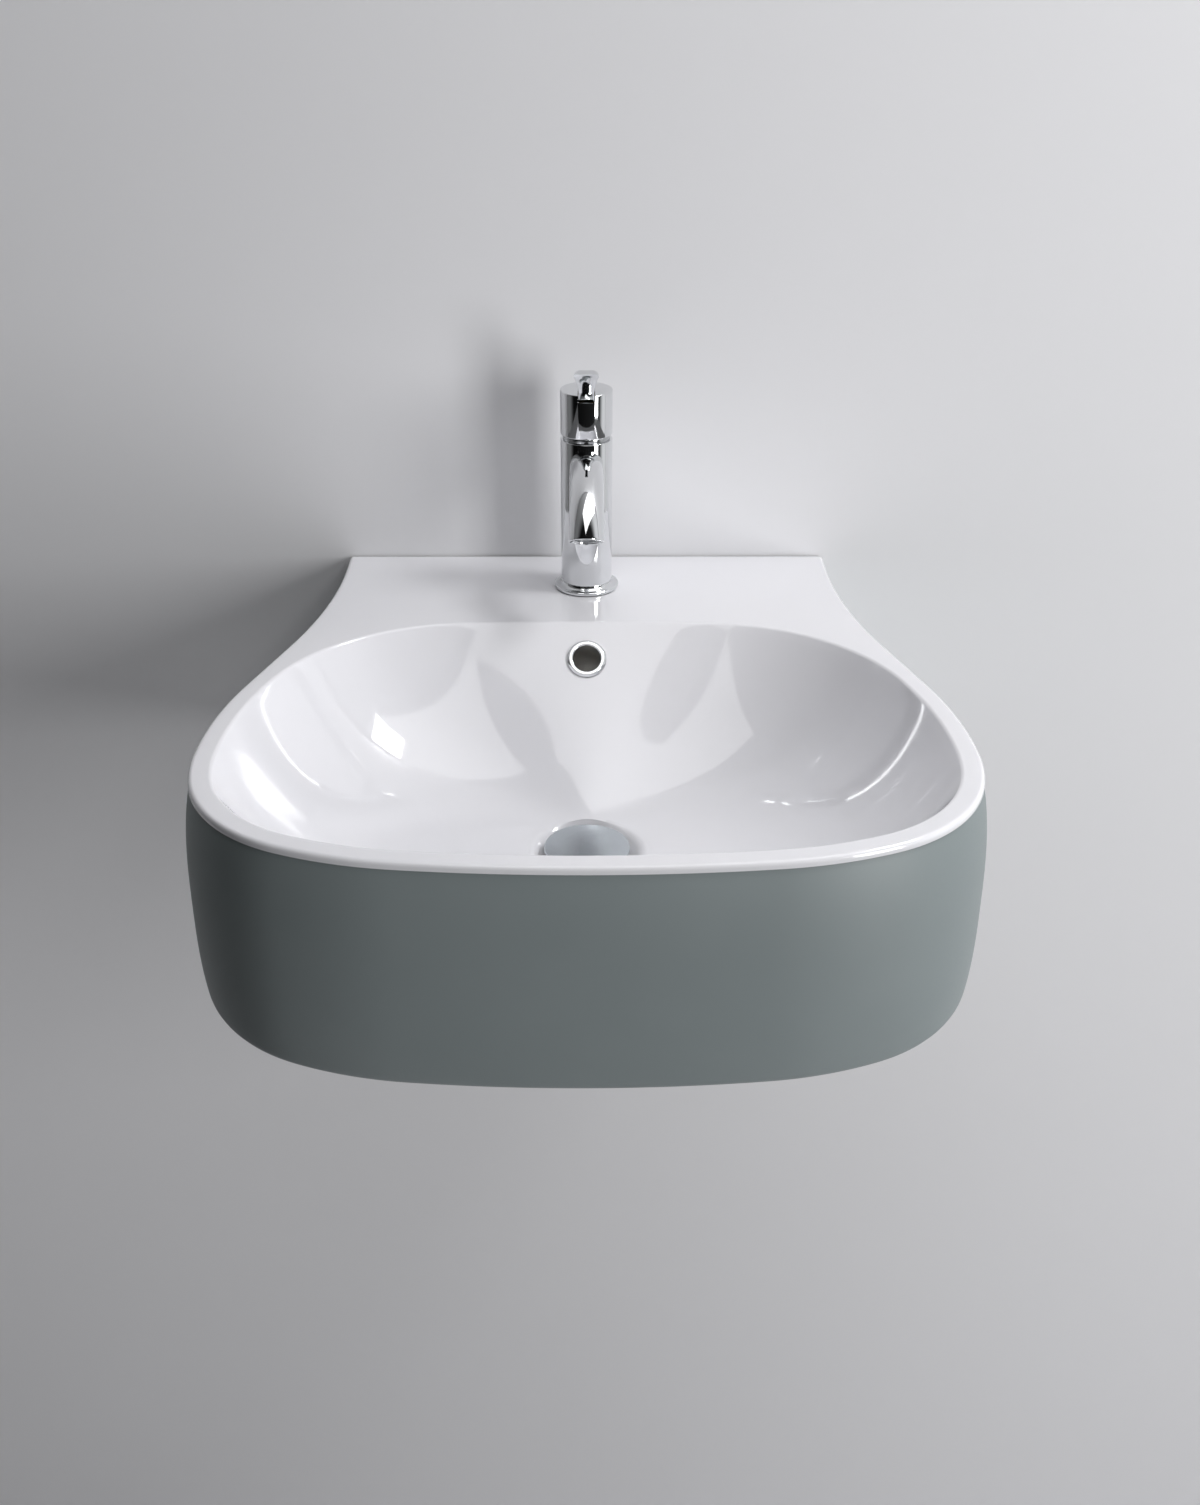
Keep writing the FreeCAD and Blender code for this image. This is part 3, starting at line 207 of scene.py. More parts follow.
def spin(name: str, profile: Profile, steps: int = 96) -> bpy.types.Object:
    """Closed profile of (radius, height) in millimetres, spun about the upright axis.

    Args:
        name: the piece's name.
        profile: the profile's points, in millimetres.
        steps: flats round the piece.

    Returns:
        The closed piece, upright on the origin.
    """
    deselect()
    bpy.ops.mesh.primitive_circle_add(vertices=len(profile), radius=MM)
    piece = named(name)
    shape_points(piece, [mm(r, 0, z) for r, z in profile])
    bpy.ops.object.mode_set(mode="EDIT")
    bpy.ops.mesh.select_all(action="SELECT")
    bpy.ops.mesh.spin(steps=steps, angle=math.tau, center=(0, 0, 0), axis=(0, 0, 1))
    bpy.ops.object.mode_set(mode="OBJECT")
    close_up(piece)
    return piece


def prism(name: str, outline: list[Vector], way: Vector) -> bpy.types.Object:
    """Flat outline drawn out along a way.

    Args:
        name: the piece's name.
        outline: corner points of one end, in metres.
        way: how far and which way it is drawn out, in metres.

    Returns:
        The closed piece.
    """
    deselect()
    bpy.ops.mesh.primitive_circle_add(vertices=len(outline), radius=MM, fill_type="NGON")
    piece = named(name)
    shape_points(piece, outline)
    bpy.ops.object.mode_set(mode="EDIT")
    bpy.ops.mesh.select_all(action="SELECT")
    bpy.ops.mesh.extrude_region_move(TRANSFORM_OT_translate={"value": way})
    bpy.ops.object.mode_set(mode="OBJECT")
    close_up(piece)
    return piece


def rod(name: str, radius: float, start: Vector, end: Vector, steps: int = 64) -> bpy.types.Object:
    """Round bar between two points, in metres.

    Args:
        name: the piece's name.
        radius: its radius.
        start: middle of one end.
        end: middle of the other end.
        steps: flats round the bar.

    Returns:
        The closed piece.
    """
    deselect()
    way = end - start
    turn = way.to_track_quat("Z", "Y").to_euler()
    bpy.ops.mesh.primitive_cylinder_add(
        vertices=steps, radius=radius, depth=way.length, location=(start + end) / 2, rotation=turn
    )
    return named(name)


def box(name: str, low: Vector, high: Vector) -> bpy.types.Object:
    """Box between two corners, in metres."""
    deselect()
    bpy.ops.mesh.primitive_cube_add(size=1, location=(low + high) / 2, scale=high - low)
    return named(name)


def carve(piece: bpy.types.Object, tool: bpy.types.Object, how: Carve) -> None:
    """Change a piece by a tool shape, which is used up.

    Args:
        piece: the piece to change.
        tool: the closed shape to cut with, join or keep.
        how: which of the three.
    """
    pick(piece)
    change = piece.modifiers.new(how.name.lower(), "BOOLEAN")
    change.operation = how.value
    change.solver = "EXACT"
    change.object = tool
    bpy.ops.object.modifier_apply(modifier=change.name)
    bpy.data.objects.remove(tool)


def ease_edges(piece: bpy.types.Object, width: float, angle: float = 35.0, segments: int = 3) -> None:
    """Bevel the sharp edges of a piece.

    Args:
        piece: the piece.
        width: width of the bevel in metres.
        angle: least angle of an edge that is bevelled, in degrees.
        segments: flats across the bevel.
    """
    pick(piece)
    bevel = piece.modifiers.new("eased_edges", "BEVEL")
    bevel.width = width
    bevel.segments = segments
    bevel.limit_method = "ANGLE"
    bevel.angle_limit = math.radians(angle)
    bevel.use_clamp_overlap = True
    bevel.harden_normals = False
    bpy.ops.object.modifier_apply(modifier=bevel.name)


def smooth(piece: bpy.types.Object, angle: float = 38.0) -> None:
    """Shade a piece smooth, with edges sharper than an angle in degrees kept crisp."""
    pick(piece)
    bpy.ops.object.shade_smooth_by_angle(angle=math.radians(angle))


def placed(piece: bpy.types.Object, place: Matrix) -> bpy.types.Object:
    """Move a piece's mesh to a place and return the piece."""
    piece.data.transform(place)
    piece.data.update()
    return piece


# ---------------------------------------------------------------- finishes

def unevenness_group() -> bpy.types.NodeTree:
    """Group that gives a broad mask, a fine mask and a bumped normal for a surface.

    Returns:
        The node group, with the sizes of its two noises and its bump strength as inputs.
    """
    group = bpy.data.node_groups.new("surface_unevenness", "ShaderNodeTree")
    for label, value in (("Broad Scale", 6.0), ("Fine Scale", 400.0), ("Bump", 0.1), ("Height", 0.0001)):
        socket = group.interface.new_socket(label, in_out="INPUT", socket_type="NodeSocketFloat")
        socket.default_value = value
    for label, kind in (("Broad", "Float"), ("Fine", "Float"), ("Normal", "Vector")):
        group.interface.new_socket(label, in_out="OUTPUT", socket_type="NodeSocket" + kind)
    nodes, link = group.nodes, group.links.new
    entry, leave = nodes.new("NodeGroupInput"), nodes.new("NodeGroupOutput")
    place = nodes.new("ShaderNodeTexCoord")
    broad, fine = nodes.new("ShaderNodeTexNoise"), nodes.new("ShaderNodeTexNoise")
    broad.inputs["Detail"].default_value = 3.0
    fine.inputs["Detail"].default_value = 4.0
    fine.inputs["Roughness"].default_value = 0.6
    bump = nodes.new("ShaderNodeBump")
    for noise, size in ((broad, "Broad Scale"), (fine, "Fine Scale")):
        link(place.outputs["Object"], noise.inputs["Vector"])
        link(entry.outputs[size], noise.inputs["Scale"])
    link(fine.outputs["Fac"], bump.inputs["Height"])
    link(entry.outputs["Bump"], bump.inputs["Strength"])
    link(entry.outputs["Height"], bump.inputs["Distance"])
    link(broad.outputs["Fac"], leave.inputs["Broad"])
    link(fine.outputs["Fac"], leave.inputs["Fine"])
    link(bump.outputs["Normal"], leave.inputs["Normal"])
    return group


UNEVENNESS = unevenness_group()


@dataclass(frozen=True)
class Finish:
    """A finish whose colour and roughness drift a little over the surface."""

    name: str
    light: tuple[float, float, float]
    dark: tuple[float, float, float]
    rough: tuple[float, float] = (0.3, 0.4)
    metallic: float = 0.0
    coat: float = 0.0
    coat_rough: float = 0.03
    specular: float = 0.5
    sheen: float = 0.0
    broad: float = 6.0
    fine: float = 400.0
    bump: float = 0.1
    height: float = 0.0001

    def material(self) -> bpy.types.Material:
        """Material of this finish, made once and then shared.

        Returns:
            The material.
        """
        found = bpy.data.materials.get(self.name)
        if found:
            return found
        material = bpy.data.materials.new(self.name)
        material.use_nodes = True
        nodes, link = material.node_tree.nodes, material.node_tree.links.new
        shader = nodes["Principled BSDF"]
        uneven = nodes.new("ShaderNodeGroup")
        uneven.node_tree = UNEVENNESS
        uneven.inputs["Broad Scale"].default_value = self.broad
        uneven.inputs["Fine Scale"].default_value = self.fine
        uneven.inputs["Bump"].default_value = self.bump
        uneven.inputs["Height"].default_value = self.height
        colour = nodes.new("ShaderNodeValToRGB")
        colour.color_ramp.elements[0].position = 0.3
        colour.color_ramp.elements[1].position = 0.7
        colour.color_ramp.elements[0].color = (*self.dark, 1)
        colour.color_ramp.elements[1].color = (*self.light, 1)
        rough = nodes.new("ShaderNodeMapRange")
        rough.inputs["From Min"].default_value = 0.3
        rough.inputs["From Max"].default_value = 0.7
        rough.inputs["To Min"].default_value = self.rough[0]
        rough.inputs["To Max"].default_value = self.rough[1]
        link(uneven.outputs["Broad"], colour.inputs["Fac"])
        link(uneven.outputs["Fine"], rough.inputs["Value"])
        link(colour.outputs["Color"], shader.inputs["Base Color"])
        link(rough.outputs["Result"], shader.inputs["Roughness"])
        link(uneven.outputs["Normal"], shader.inputs["Normal"])
        shader.inputs["Metallic"].default_value = self.metallic
        shader.inputs["Specular IOR Level"].default_value = self.specular
        shader.inputs["Coat Weight"].default_value = self.coat
        shader.inputs["Coat Roughness"].default_value = self.coat_rough
        shader.inputs["Sheen Weight"].default_value = self.sheen
        return material


GLOSS_GLAZE = Finish("gloss_white_glaze", (0.86, 0.855, 0.885), (0.83, 0.83, 0.865), rough=(0.05, 0.09),
                     coat=0.5, coat_rough=0.03, broad=3.0, fine=60.0, bump=0.05, height=0.0002)
MATT_GLAZE = Finish("matt_sage_glaze", (0.245, 0.280, 0.285), (0.220, 0.255, 0.260), rough=(0.42, 0.50),
                    specular=0.35, broad=5.0, fine=900.0, bump=0.12, height=0.00005)
BARE_CLAY = Finish("unglazed_clay", (0.70, 0.68, 0.64), (0.60, 0.58, 0.54), rough=(0.75, 0.9),
                   specular=0.2, broad=9.0, fine=500.0, bump=0.35, height=0.0002)
CLAY_FINISHES = (GLOSS_GLAZE, MATT_GLAZE, BARE_CLAY)
GLOSS, MATT, BARE = range(len(CLAY_FINISHES))
CHROME = Finish("polished_chrome", (0.80, 0.81, 0.82), (0.76, 0.77, 0.78), rough=(0.03, 0.06), metallic=1.0,
                broad=8.0, fine=300.0, bump=0.02, height=0.00003)
# Satin chrome of the waste cap: the satin finish is its own, and its bluish grey tint is painted reflection
# of the pale wall and bowl behind it.
SATIN_CHROME_PAINTED_REFLECTION = Finish("satin_chrome_with_painted_reflection_tint", (0.62, 0.66, 0.69), (0.58, 0.62, 0.65), rough=(0.20, 0.26),
                      metallic=1.0, broad=8.0, fine=700.0, bump=0.04, height=0.00003)
# Chrome of the ring in the groove under the head, darker than the tap's chrome: the darkness is painted
# shade of the groove.
GROOVE_CHROME_PAINTED_SHADE = Finish("groove_chrome_with_painted_shade", (0.55, 0.56, 0.57), (0.48, 0.49, 0.50), rough=(0.10, 0.16),
                     metallic=1.0, bump=0.03, height=0.00003)
BRASS = Finish("turned_brass", (0.62, 0.44, 0.17), (0.48, 0.33, 0.12), rough=(0.24, 0.38), metallic=1.0,
               broad=30.0, fine=900.0, bump=0.15, height=0.00005)
STEEL = Finish("zinced_steel", (0.50, 0.50, 0.49), (0.38, 0.38, 0.38), rough=(0.28, 0.42), metallic=1.0,
               broad=40.0, fine=900.0, bump=0.15, height=0.00005)
SPRING_WIRE = Finish("spring_wire", (0.42, 0.42, 0.43), (0.32, 0.32, 0.33), rough=(0.22, 0.32),
                     metallic=1.0, broad=80.0, fine=1500.0)
RUBBER = Finish("black_rubber", (0.030, 0.030, 0.030), (0.020, 0.020, 0.020), rough=(0.6, 0.75),
                specular=0.3, broad=30.0, fine=1500.0, bump=0.3, height=0.0001)
WHITE_NYLON = Finish("white_nylon", (0.78, 0.77, 0.73), (0.72, 0.71, 0.67), rough=(0.38, 0.5),
                     broad=20.0, fine=1200.0, bump=0.12)
GREY_NYLON = Finish("grey_nylon", (0.30, 0.31, 0.32), (0.25, 0.26, 0.27), rough=(0.35, 0.48),
                    broad=20.0, fine=1200.0, bump=0.12)
DARK_NYLON = Finish("dark_nylon", (0.035, 0.035, 0.038), (0.025, 0.025, 0.028), rough=(0.35, 0.48),
                    broad=20.0, fine=1200.0, bump=0.12)
LAPPED_DISC = Finish("lapped_disc", (0.84, 0.82, 0.76), (0.80, 0.78, 0.72), rough=(0.06, 0.12),
                     broad=20.0, fine=1500.0, bump=0.03)


def dress(piece: bpy.types.Object, *finishes: Finish) -> None:
    """Give a piece its finishes, in the order of its material numbers."""
    piece.data.materials.clear()
    for finish in finishes:
        piece.data.materials.append(finish.material())


def stand_for(piece: bpy.types.Object, *nodes: str) -> None:
    """Put a piece in place of nodes of the frame, on the first one's body.

    Args:
        piece: the finished piece.
        nodes: the nodes that it replaces, all on one body.
    """
    first = nodes[0]
    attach(piece, frame["nodes"][first]["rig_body"])
    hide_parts(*nodes)
    low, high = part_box(first)
    LOG.info("%s stands for %s, %.1f mm high", piece.name, ", ".join(nodes), (high[2] - low[2]) / MM)


# ---------------------------------------------------------------- clay

@dataclass
class RimPlan:
    """Plan of the rim as tangent arcs, in millimetres."""

    width: float = 579.0
    depth: float = 549.0
    back_width: float = 442.0
    crown_turn: float = 6.2
    front_turn: float = 16.8
    corner_turn: float = 55.0
    front_radius: float = 285.0
    corner_radius: float = 128.0
    shoulder_radius: float = 180.0
    side_radius: float = 383.0
    flare: float = 17.5
    waist_radius: float = 590.0
    ledge: float = 14.0
    bowl_back: float = 152.0
    bowl_back_radius: float = 165.0
    bowl_back_crown: float = 3.0
    waste_y: float = -336.0
    flare_steps: int = 10
    waist_steps: int = 24
    side_steps: int = 4
    back_steps: int = 36

    def arcs(self) -> dict[str, tuple[Vector, float, float, float]]:
        """Arcs of the right half from the front to the waist.

        Returns:
            For each arc its centre, radius, first and last direction in degrees.
        """
        corner_start = self.crown_turn + self.front_turn
        corner_end = corner_start + self.corner_turn
        shoulder = Vector((self.width / 2 - self.shoulder_radius, 0, 0))
        corner = shoulder + toward(corner_end) * (self.shoulder_radius - self.corner_radius)
        front = corner - toward(corner_start) * (self.front_radius - self.corner_radius)
        crown_radius = front.x / math.sin(math.radians(self.crown_turn)) + self.front_radius
        crown = front - toward(self.crown_turn) * (crown_radius - self.front_radius)
        drop = Vector((0, -self.depth + crown_radius - crown.y, 0))
        side = shoulder - Vector((self.side_radius - self.shoulder_radius, 0, 0))
        return {
            "crown": (crown + drop, crown_radius, 0.0, self.crown_turn),
            "front": (front + drop, self.front_radius, self.crown_turn, corner_start),
            "corner": (corner + drop, self.corner_radius, corner_start, corner_end),
            "shoulder": (shoulder + drop, self.shoulder_radius, corner_end, 90.0),
            "side": (side + drop, self.side_radius, 90.0, 90.0 + self.flare),
        }

    def outline(self, grow: float, back: float = 0.0) -> list[Vector]:
        """Closed outline of the basin, always with the same number of points.

        Args:
            grow: distance that it stands outside the rim.
            back: where its straight back edge lies.

        Returns:
            Points in millimetres, from the front middle to the right.
        """
        half: list[Vector] = []
        counts = {"crown": 8, "front": 12, "corner": 36, "shoulder": 12, "side": 14}
        for name, (centre, radius, start, end) in self.arcs().items():
            count = counts[name]
            half += [
                centre + toward(start + (end - start) * i / count) * (radius + grow)
                for i in range(count)
            ]
        centre, radius, _, last = self.arcs()["side"]
        flare_start = centre + toward(last) * (radius + grow)
        lean = math.radians(self.flare)
        spread = (self.width - self.back_width) / 2
        spread -= (self.side_radius + self.waist_radius) * (1 - math.cos(lean))
        run = Vector((-math.sin(lean), math.cos(lean), 0)) * (spread / math.sin(lean))
        half += [flare_start + run * (i / self.flare_steps) for i in range(self.flare_steps)]
        hollow = flare_start + run + toward(last) * (self.waist_radius - grow)
        for i in range(self.waist_steps):
            way = toward(last - self.flare * i / self.waist_steps)
            half.append(hollow - way * (self.waist_radius - grow))
        waist = hollow - toward(90.0) * (self.waist_radius - grow)
        sides = self.side_steps
        half += [Vector((waist.x, waist.y + (back - waist.y) * i / sides, 0)) for i in range(sides)]
        across = self.back_steps
        half += [Vector((waist.x * (1 - i / across), back, 0)) for i in range(across)]
        left = [Vector((-p.x, p.y, 0)) for p in reversed(half[1:])]
        return half + [Vector((0, back, 0))] + left

    def bowl_edge(self, grow: float) -> list[tuple[float, float]]:
        """Edge of the bowl as seen from the waste.

        Args:
            grow: distance that it stands outside the bowl.

        Returns:
            Pairs of direction in degrees, rising from 0 to 180, and reach in millimetres.
        """
        inset = grow - self.ledge
        points: list[Vector] = []
        steps = 40
        for centre, radius, start, end in self.arcs().values():
            points += [
                centre + toward(start + (end - start) * i / steps) * (radius + inset)
                for i in range(steps)
            ]
        centre, radius, _, last = self.arcs()["side"]
        turn = centre + toward(last) * (radius + inset)
        back_radius = self.bowl_back_radius + grow
        crown_start = 180.0 - self.bowl_back_crown
        first = turn - toward(last) * back_radius
        end = first + toward(crown_start) * back_radius
        rise = math.tan(math.radians(self.bowl_back_crown / 2))
        lean = math.radians(self.flare)
        run = (grow - self.bowl_back - end.y - rise * end.x) / (math.cos(lean) - rise * math.sin(lean))
        shift = Vector((-math.sin(lean), math.cos(lean), 0)) * run
        points += [
            first + shift + toward(last + (crown_start - last) * i / steps) * back_radius
            for i in range(steps)
        ]
        end += shift
        crown_radius = end.x / math.sin(math.radians(self.bowl_back_crown))
        middle = Vector((0, end.y - crown_radius * math.cos(math.radians(self.bowl_back_crown)), 0))
        points += [
            middle + toward(crown_start + self.bowl_back_crown * i / steps) * crown_radius
            for i in range(steps + 1)
        ]
        waste = Vector((0, self.waste_y, 0))
        seen = [(math.degrees(math.atan2(p.x, -(p - waste).y)), (p - waste).length) for p in points]
        return sorted((abs(angle), reach) for angle, reach in seen)


@dataclass
class Clay:
    """The one piece of fired clay: skirt, lip, deck, bowl and hollow underside, in millimetres."""

    plan: RimPlan = field(default_factory=RimPlan)
    rim: float = 95.0
    height: float = 190.0
    bulge: float = 10.5
    bulge_drop: float = 104.0
    bottom_round: float = 14.0
    lip: float = 6.0
    lip_proud: float = 1.0
    lip_round: float = 3.6
    lip_break: float = 0.35
    lip_break_share: float = 0.3
    lip_flat: float = 1.5
    wall: float = 11.0
    foot_wall: float = 26.0
    foot_height: float = 30.0
    foot_slope: tuple[float, float] = (10.0, 0.8)
    foot_break: float = 1.0
    deck: float = 14.0
    back_wall: float = 16.0
    bowl_depth: float = 119.0
    bowl_start: float = 36.0
    bowl_round: float = 4.0
    fullness: float = 3.4
    back_fullness: float = 1.3
    wall_levels: tuple[float, float] = (0.975, 0.055)
    shell: float = 11.0
    shell_level: float = 0.02
    dish: tuple[float, float] = (44.0, 12.0)
    dish_run: float = 3.0
    dish_bend: tuple[float, float] = (0.6, 0.3)
    seat_radius: float = 33.5
    hole: float = 23.0
    boss: tuple[float, float, float] = (46.0, 34.0, 44.0)
    tap_y: float = -70.0
    tap_hole: float = 17.5
    tap_pad: tuple[float, float, float] = (38.0, 22.0, 8.0)
    fixing_x: float = 140.0
    fixing_hole: float = 11.0
    fixing_boss: tuple[float, float, float] = (24.0, -26.0, -10.0)
    pipe_opening: tuple[float, float, float] = (125.0, -18.0, 52.0)
    overflow_drop: float = 24.6
    overflow_lean: float = 45.0
    overflow_hole: float = 13.4
    overflow_seat: float = 17.1
    overflow_seat_depth: float = 0.8
    duct_body: tuple[float, float, float, float] = (1.0, 9.0, 35.0, 29.0)
    duct_hollow: tuple[float, float, float, float] = (0.93, 14.0, 26.0, 20.0)
    duct_low: float = 0.06
    duct_below_rim: float = 8.0
    directions: list[float] = field(default_factory=list)
    rings: list[list[Vector]] = field(default_factory=list)
    zones: dict[str, tuple[int, int]] = field(default_factory=dict)

    def skirt_grow(self, depth: float) -> float:
        """How far the skirt stands out past the rim at a depth below the rim."""
        return self.bulge * (1 - (abs(depth - self.bulge_drop) / self.bulge_drop) ** 3)

    def flat_ring(self, grow: float, depth: float, back: float = 0.0) -> list[Vector]:
        """Ring that follows the rim's plan at a depth below the rim."""
        return [mm(p.x, p.y, self.rim - depth) for p in self.plan.outline(grow, back)]

    def fullness_at(self, angle: float) -> float:
        """Steepness of the bowl's wall in a direction from the waste."""
        backward = max(0.0, -math.cos(math.radians(angle))) ** 2
        return self.fullness + (self.back_fullness - self.fullness) * backward

    def polar_ring(self, reach_and_depth) -> list[Vector]:
        """Ring whose points are given by direction from the waste.

        Args:
            reach_and_depth: gives reach and depth in millimetres for the number of a direction.

        Returns:
            The ring's points in metres.
        """
        ring = []
        for i, angle in enumerate(self.directions):
            reach, depth = reach_and_depth(i)
            way = toward(angle)
            ring.append(mm(way.x * reach, self.plan.waste_y + way.y * reach, self.rim - depth))
        return ring

    def look_up(self, edge: list[tuple[float, float]]) -> list[float]:
        """Reach of a bowl edge in each direction of the rings."""
        angles = [a for a, _ in edge]
        found = []
        for angle in self.directions:
            k = min(max(bisect_left(angles, abs(angle)), 1), len(edge) - 1)
            (a0, r0), (a1, r1) = edge[k - 1], edge[k]
            share = (abs(angle) - a0) / (a1 - a0) if a1 > a0 else 0.0
            found.append(r0 + (r1 - r0) * min(max(share, 0.0), 1.0))
        return found

    def zone(self, name: str, rings: list[list[Vector]]) -> None:
        """Add rings to the stack and remember which ones a zone has."""
        self.zones[name] = (len(self.rings), len(self.rings) + len(rings))
        self.rings += rings

    def outer_rings(self) -> None:
        """Rounded foot, swelling skirt and lip."""
        full = self.height - self.bottom_round
        turns = 8
        foot = []
        for i in range(turns):
            angle = math.radians(90 * (1 - i / turns))
            depth = full + self.bottom_round * math.sin(angle)
            inward = self.bottom_round * (1 - math.cos(angle))
            foot.append(self.flat_ring(self.skirt_grow(depth) - inward, depth))
        steps = 32
        run = full - self.lip
        for i in range(steps + 1):
            depth = full - run * i / steps
            foot.append(self.flat_ring(self.skirt_grow(depth), depth))
        self.zone("skirt", foot)
        grow = self.skirt_grow(self.lip) + self.lip_proud
        ease, part = self.lip_break, self.lip_break * self.lip_break_share
        lip = [
            self.flat_ring(grow - ease, self.lip),
            self.flat_ring(grow - part, self.lip - part),
            self.flat_ring(grow, self.lip - ease),
        ]
        arc = 8
        for i in range(arc + 1):
            angle = math.radians(90 * i / arc)
            inward = self.lip_round * (1 - math.cos(angle))
            lip.append(self.flat_ring(grow - inward, self.lip_round * (1 - math.sin(angle))))
        lip.append(self.flat_ring(grow - self.lip_round - self.lip_flat, 0))
        self.zone("lip", lip)

    def bowl_rings(self) -> None:
        """Rounded edge, wall and floor of the bowl, the dish and the waste hole."""
        edge = self.look_up(self.plan.bowl_edge(0.0))
        rings = self.edge_rings(edge) + self.wall_rings(edge) + self.dish_rings(edge)
        low = self.bowl_depth + self.dish[1]
        seat, hole, tall = self.seat_radius, self.hole, self.boss[2]
        for reach, depth in (
            (seat + 0.8, low - 0.9), (seat - 0.2, low), (hole + 1.2, low), (hole + 0.3, low + 0.4),
            (hole, low + 1.2), (hole, low + tall - 1.0), (hole + 1.0, low + tall),
        ):
            rings.append(self.level_ring(reach, depth))
        self.zone("bowl", rings)

    def level_ring(self, reach: float, depth: float) -> list[Vector]:
        """Round ring about the waste."""
        return self.polar_ring(lambda _: (reach, depth))

    def edge_rings(self, edge: list[float]) -> list[list[Vector]]:
        """Rounded edge between the deck and the bowl's wall."""
        tilt = [
            math.atan(self.bowl_depth * self.fullness_at(angle) / (reach - self.bowl_start))
            for angle, reach in zip(self.directions, edge)
        ]
        rings = []
        arc = 7
        for k in range(arc + 1):
            def on_edge(i: int, share: float = k / arc) -> Pair:
                lean = self.bowl_round * math.tan(tilt[i] / 2)
                turn = tilt[i] * share
                reach = edge[i] + lean - self.bowl_round * math.sin(turn)
                return reach, self.bowl_round * (1 - math.cos(turn))
            rings.append(self.polar_ring(on_edge))
        return rings

    def wall_rings(self, edge: list[float]) -> list[list[Vector]]:
        """The bowl's wall, from its edge down to its floor."""
        rings = []
        steps = 44
        highest, lowest = self.wall_levels
        for k in range(steps):
            def on_bowl(i: int, level: float = highest - (highest - lowest) * k / (steps - 1)) -> Pair:
                return self.on_wall(i, level, edge, self.bowl_start, self.bowl_depth)
            rings.append(self.polar_ring(on_bowl))
        return rings

    def dish_rings(self, edge: list[float]) -> list[list[Vector]]:
        """Rounded step from the bowl's floor into the dish of the waste."""
        radius, drop = self.dish
        slope = (radius - self.seat_radius) / drop
        end = radius - self.dish_run
        last = self.bowl_depth + drop - (end - self.seat_radius) / slope
        out, down = self.dish_bend
        rings = []
        steps = 6
        for k in range(1, steps + 1):
            def into_dish(i: int, t: float = k / steps) -> Pair:
                reach, depth = self.on_wall(
                    i, self.wall_levels[1], edge, self.bowl_start, self.bowl_depth
                )
                bend = min(self.bowl_depth, depth + down)
                one, two, three = (1 - t) ** 2, 2 * t * (1 - t), t * t
                return (
                    reach * one + (radius + out) * two + end * three,
                    depth * one + bend * two + last * three,
                )
            rings.append(self.polar_ring(into_dish))
        return rings

    def on_wall(self, i: int, level: float, edge: list[float], start: float, depth: float) -> Pair:
        """Reach and depth of a point on the bowl's wall or its outside."""
        share = 1 - level ** self.fullness_at(self.directions[i])
        return start + (edge[i] - start) * level, depth * share

    def under_rings(self) -> None:
        """Boss, outside of the bowl, underside of the deck and inside of the skirt."""
        wide, narrow, tall = self.boss
        low = self.bowl_depth + self.dish[1]
        rings = [
            self.level_ring(narrow - 1.0, low + tall), self.level_ring(narrow, low + tall - 1.0),
            self.level_ring(narrow, low + 3 + wide - narrow), self.level_ring(wide, low + 3),
        ]
        edge = self.look_up(self.plan.bowl_edge(self.shell))
        start, depth = self.bowl_start + self.shell, self.bowl_depth + self.shell
        steps = 20
        for k in range(steps + 1):
            def outside(i: int, t: float = k / steps) -> Pair:
                top = (1 - self.deck / depth) ** (1 / self.fullness_at(self.directions[i]))
                level = self.shell_level + (top - self.shell_level) * t
                return self.on_wall(i, level, edge, start, depth)
            rings.append(self.polar_ring(outside))
        knee = self.height - self.foot_height
        levels = 8
        for k in range(levels + 1):
            at = self.deck + (knee - self.deck) * k / levels
            rings.append(self.inside_ring(self.skirt_grow(at) - self.wall, at))
        above, share = self.foot_slope
        at = self.height - above
        rings.append(self.inside_ring(self.skirt_grow(at) - self.foot_wall * share, at))
        foot, ease = self.skirt_grow(self.height) - self.foot_wall, self.foot_break
        rings.append(self.inside_ring(foot + ease, self.height - ease))
        rings.append(self.inside_ring(foot + 2 * ease, self.height))
        self.zone("under", rings)

    def inside_ring(self, grow: float, depth: float) -> list[Vector]:
        """Ring inside the skirt, in front of the back wall."""
        return self.flat_ring(grow, depth, -self.back_wall)

    def overflow(self) -> Matrix:
        """Place of the overflow on the bowl's back wall, its Z axis out into the bowl."""
        low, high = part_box("overflow_ring")
        lean = math.radians(self.overflow_lean)
        start = self.plan.waste_y + self.bowl_start
        level = (1 - self.overflow_drop / self.bowl_depth) ** (1 / self.back_fullness)
        y = start + (-self.plan.bowl_back - start) * level
        LOG.info("overflow between %.1f and %.1f mm", low[2] / MM, high[2] / MM)
        axis = Vector((0, -math.cos(lean), math.sin(lean)))
        turn = axis.to_track_quat("Z", "X").to_matrix().to_4x4()
        return Matrix.Translation(mm(0, y, self.rim - self.overflow_drop)) @ turn

    def build(self) -> bpy.types.Object:
        """Model the clay and dress its zones.

        Returns:
            The finished piece.
        """
        waste = Vector((0, self.plan.waste_y, 0))
        self.directions = [
            math.degrees(math.atan2(p.x, -(p - waste).y)) for p in self.plan.outline(0.0)
        ]
        self.outer_rings()
        self.bowl_rings()
        self.under_rings()
        clay = ring_stack("basin_clay", self.rings)
        dress(clay, *CLAY_FINISHES)
        skirt, under = self.zones["skirt"], self.zones["under"]
        rows = [0] * len(clay.data.polygons)
        clay.data.attributes["ring"].data.foreach_get("value", rows)
        for face, row in zip(clay.data.polygons, rows):
            if under[0] <= row:
                face.material_index = BARE
            elif skirt[0] <= row < skirt[1] - 1:
                face.material_index = MATT
            if face.normal.y > 0.99 and face.center.y > -1e-4:
                face.material_index = BARE
        self.under_details(clay)
        self.holes(clay)
        smooth(clay, 42.0)
        return clay

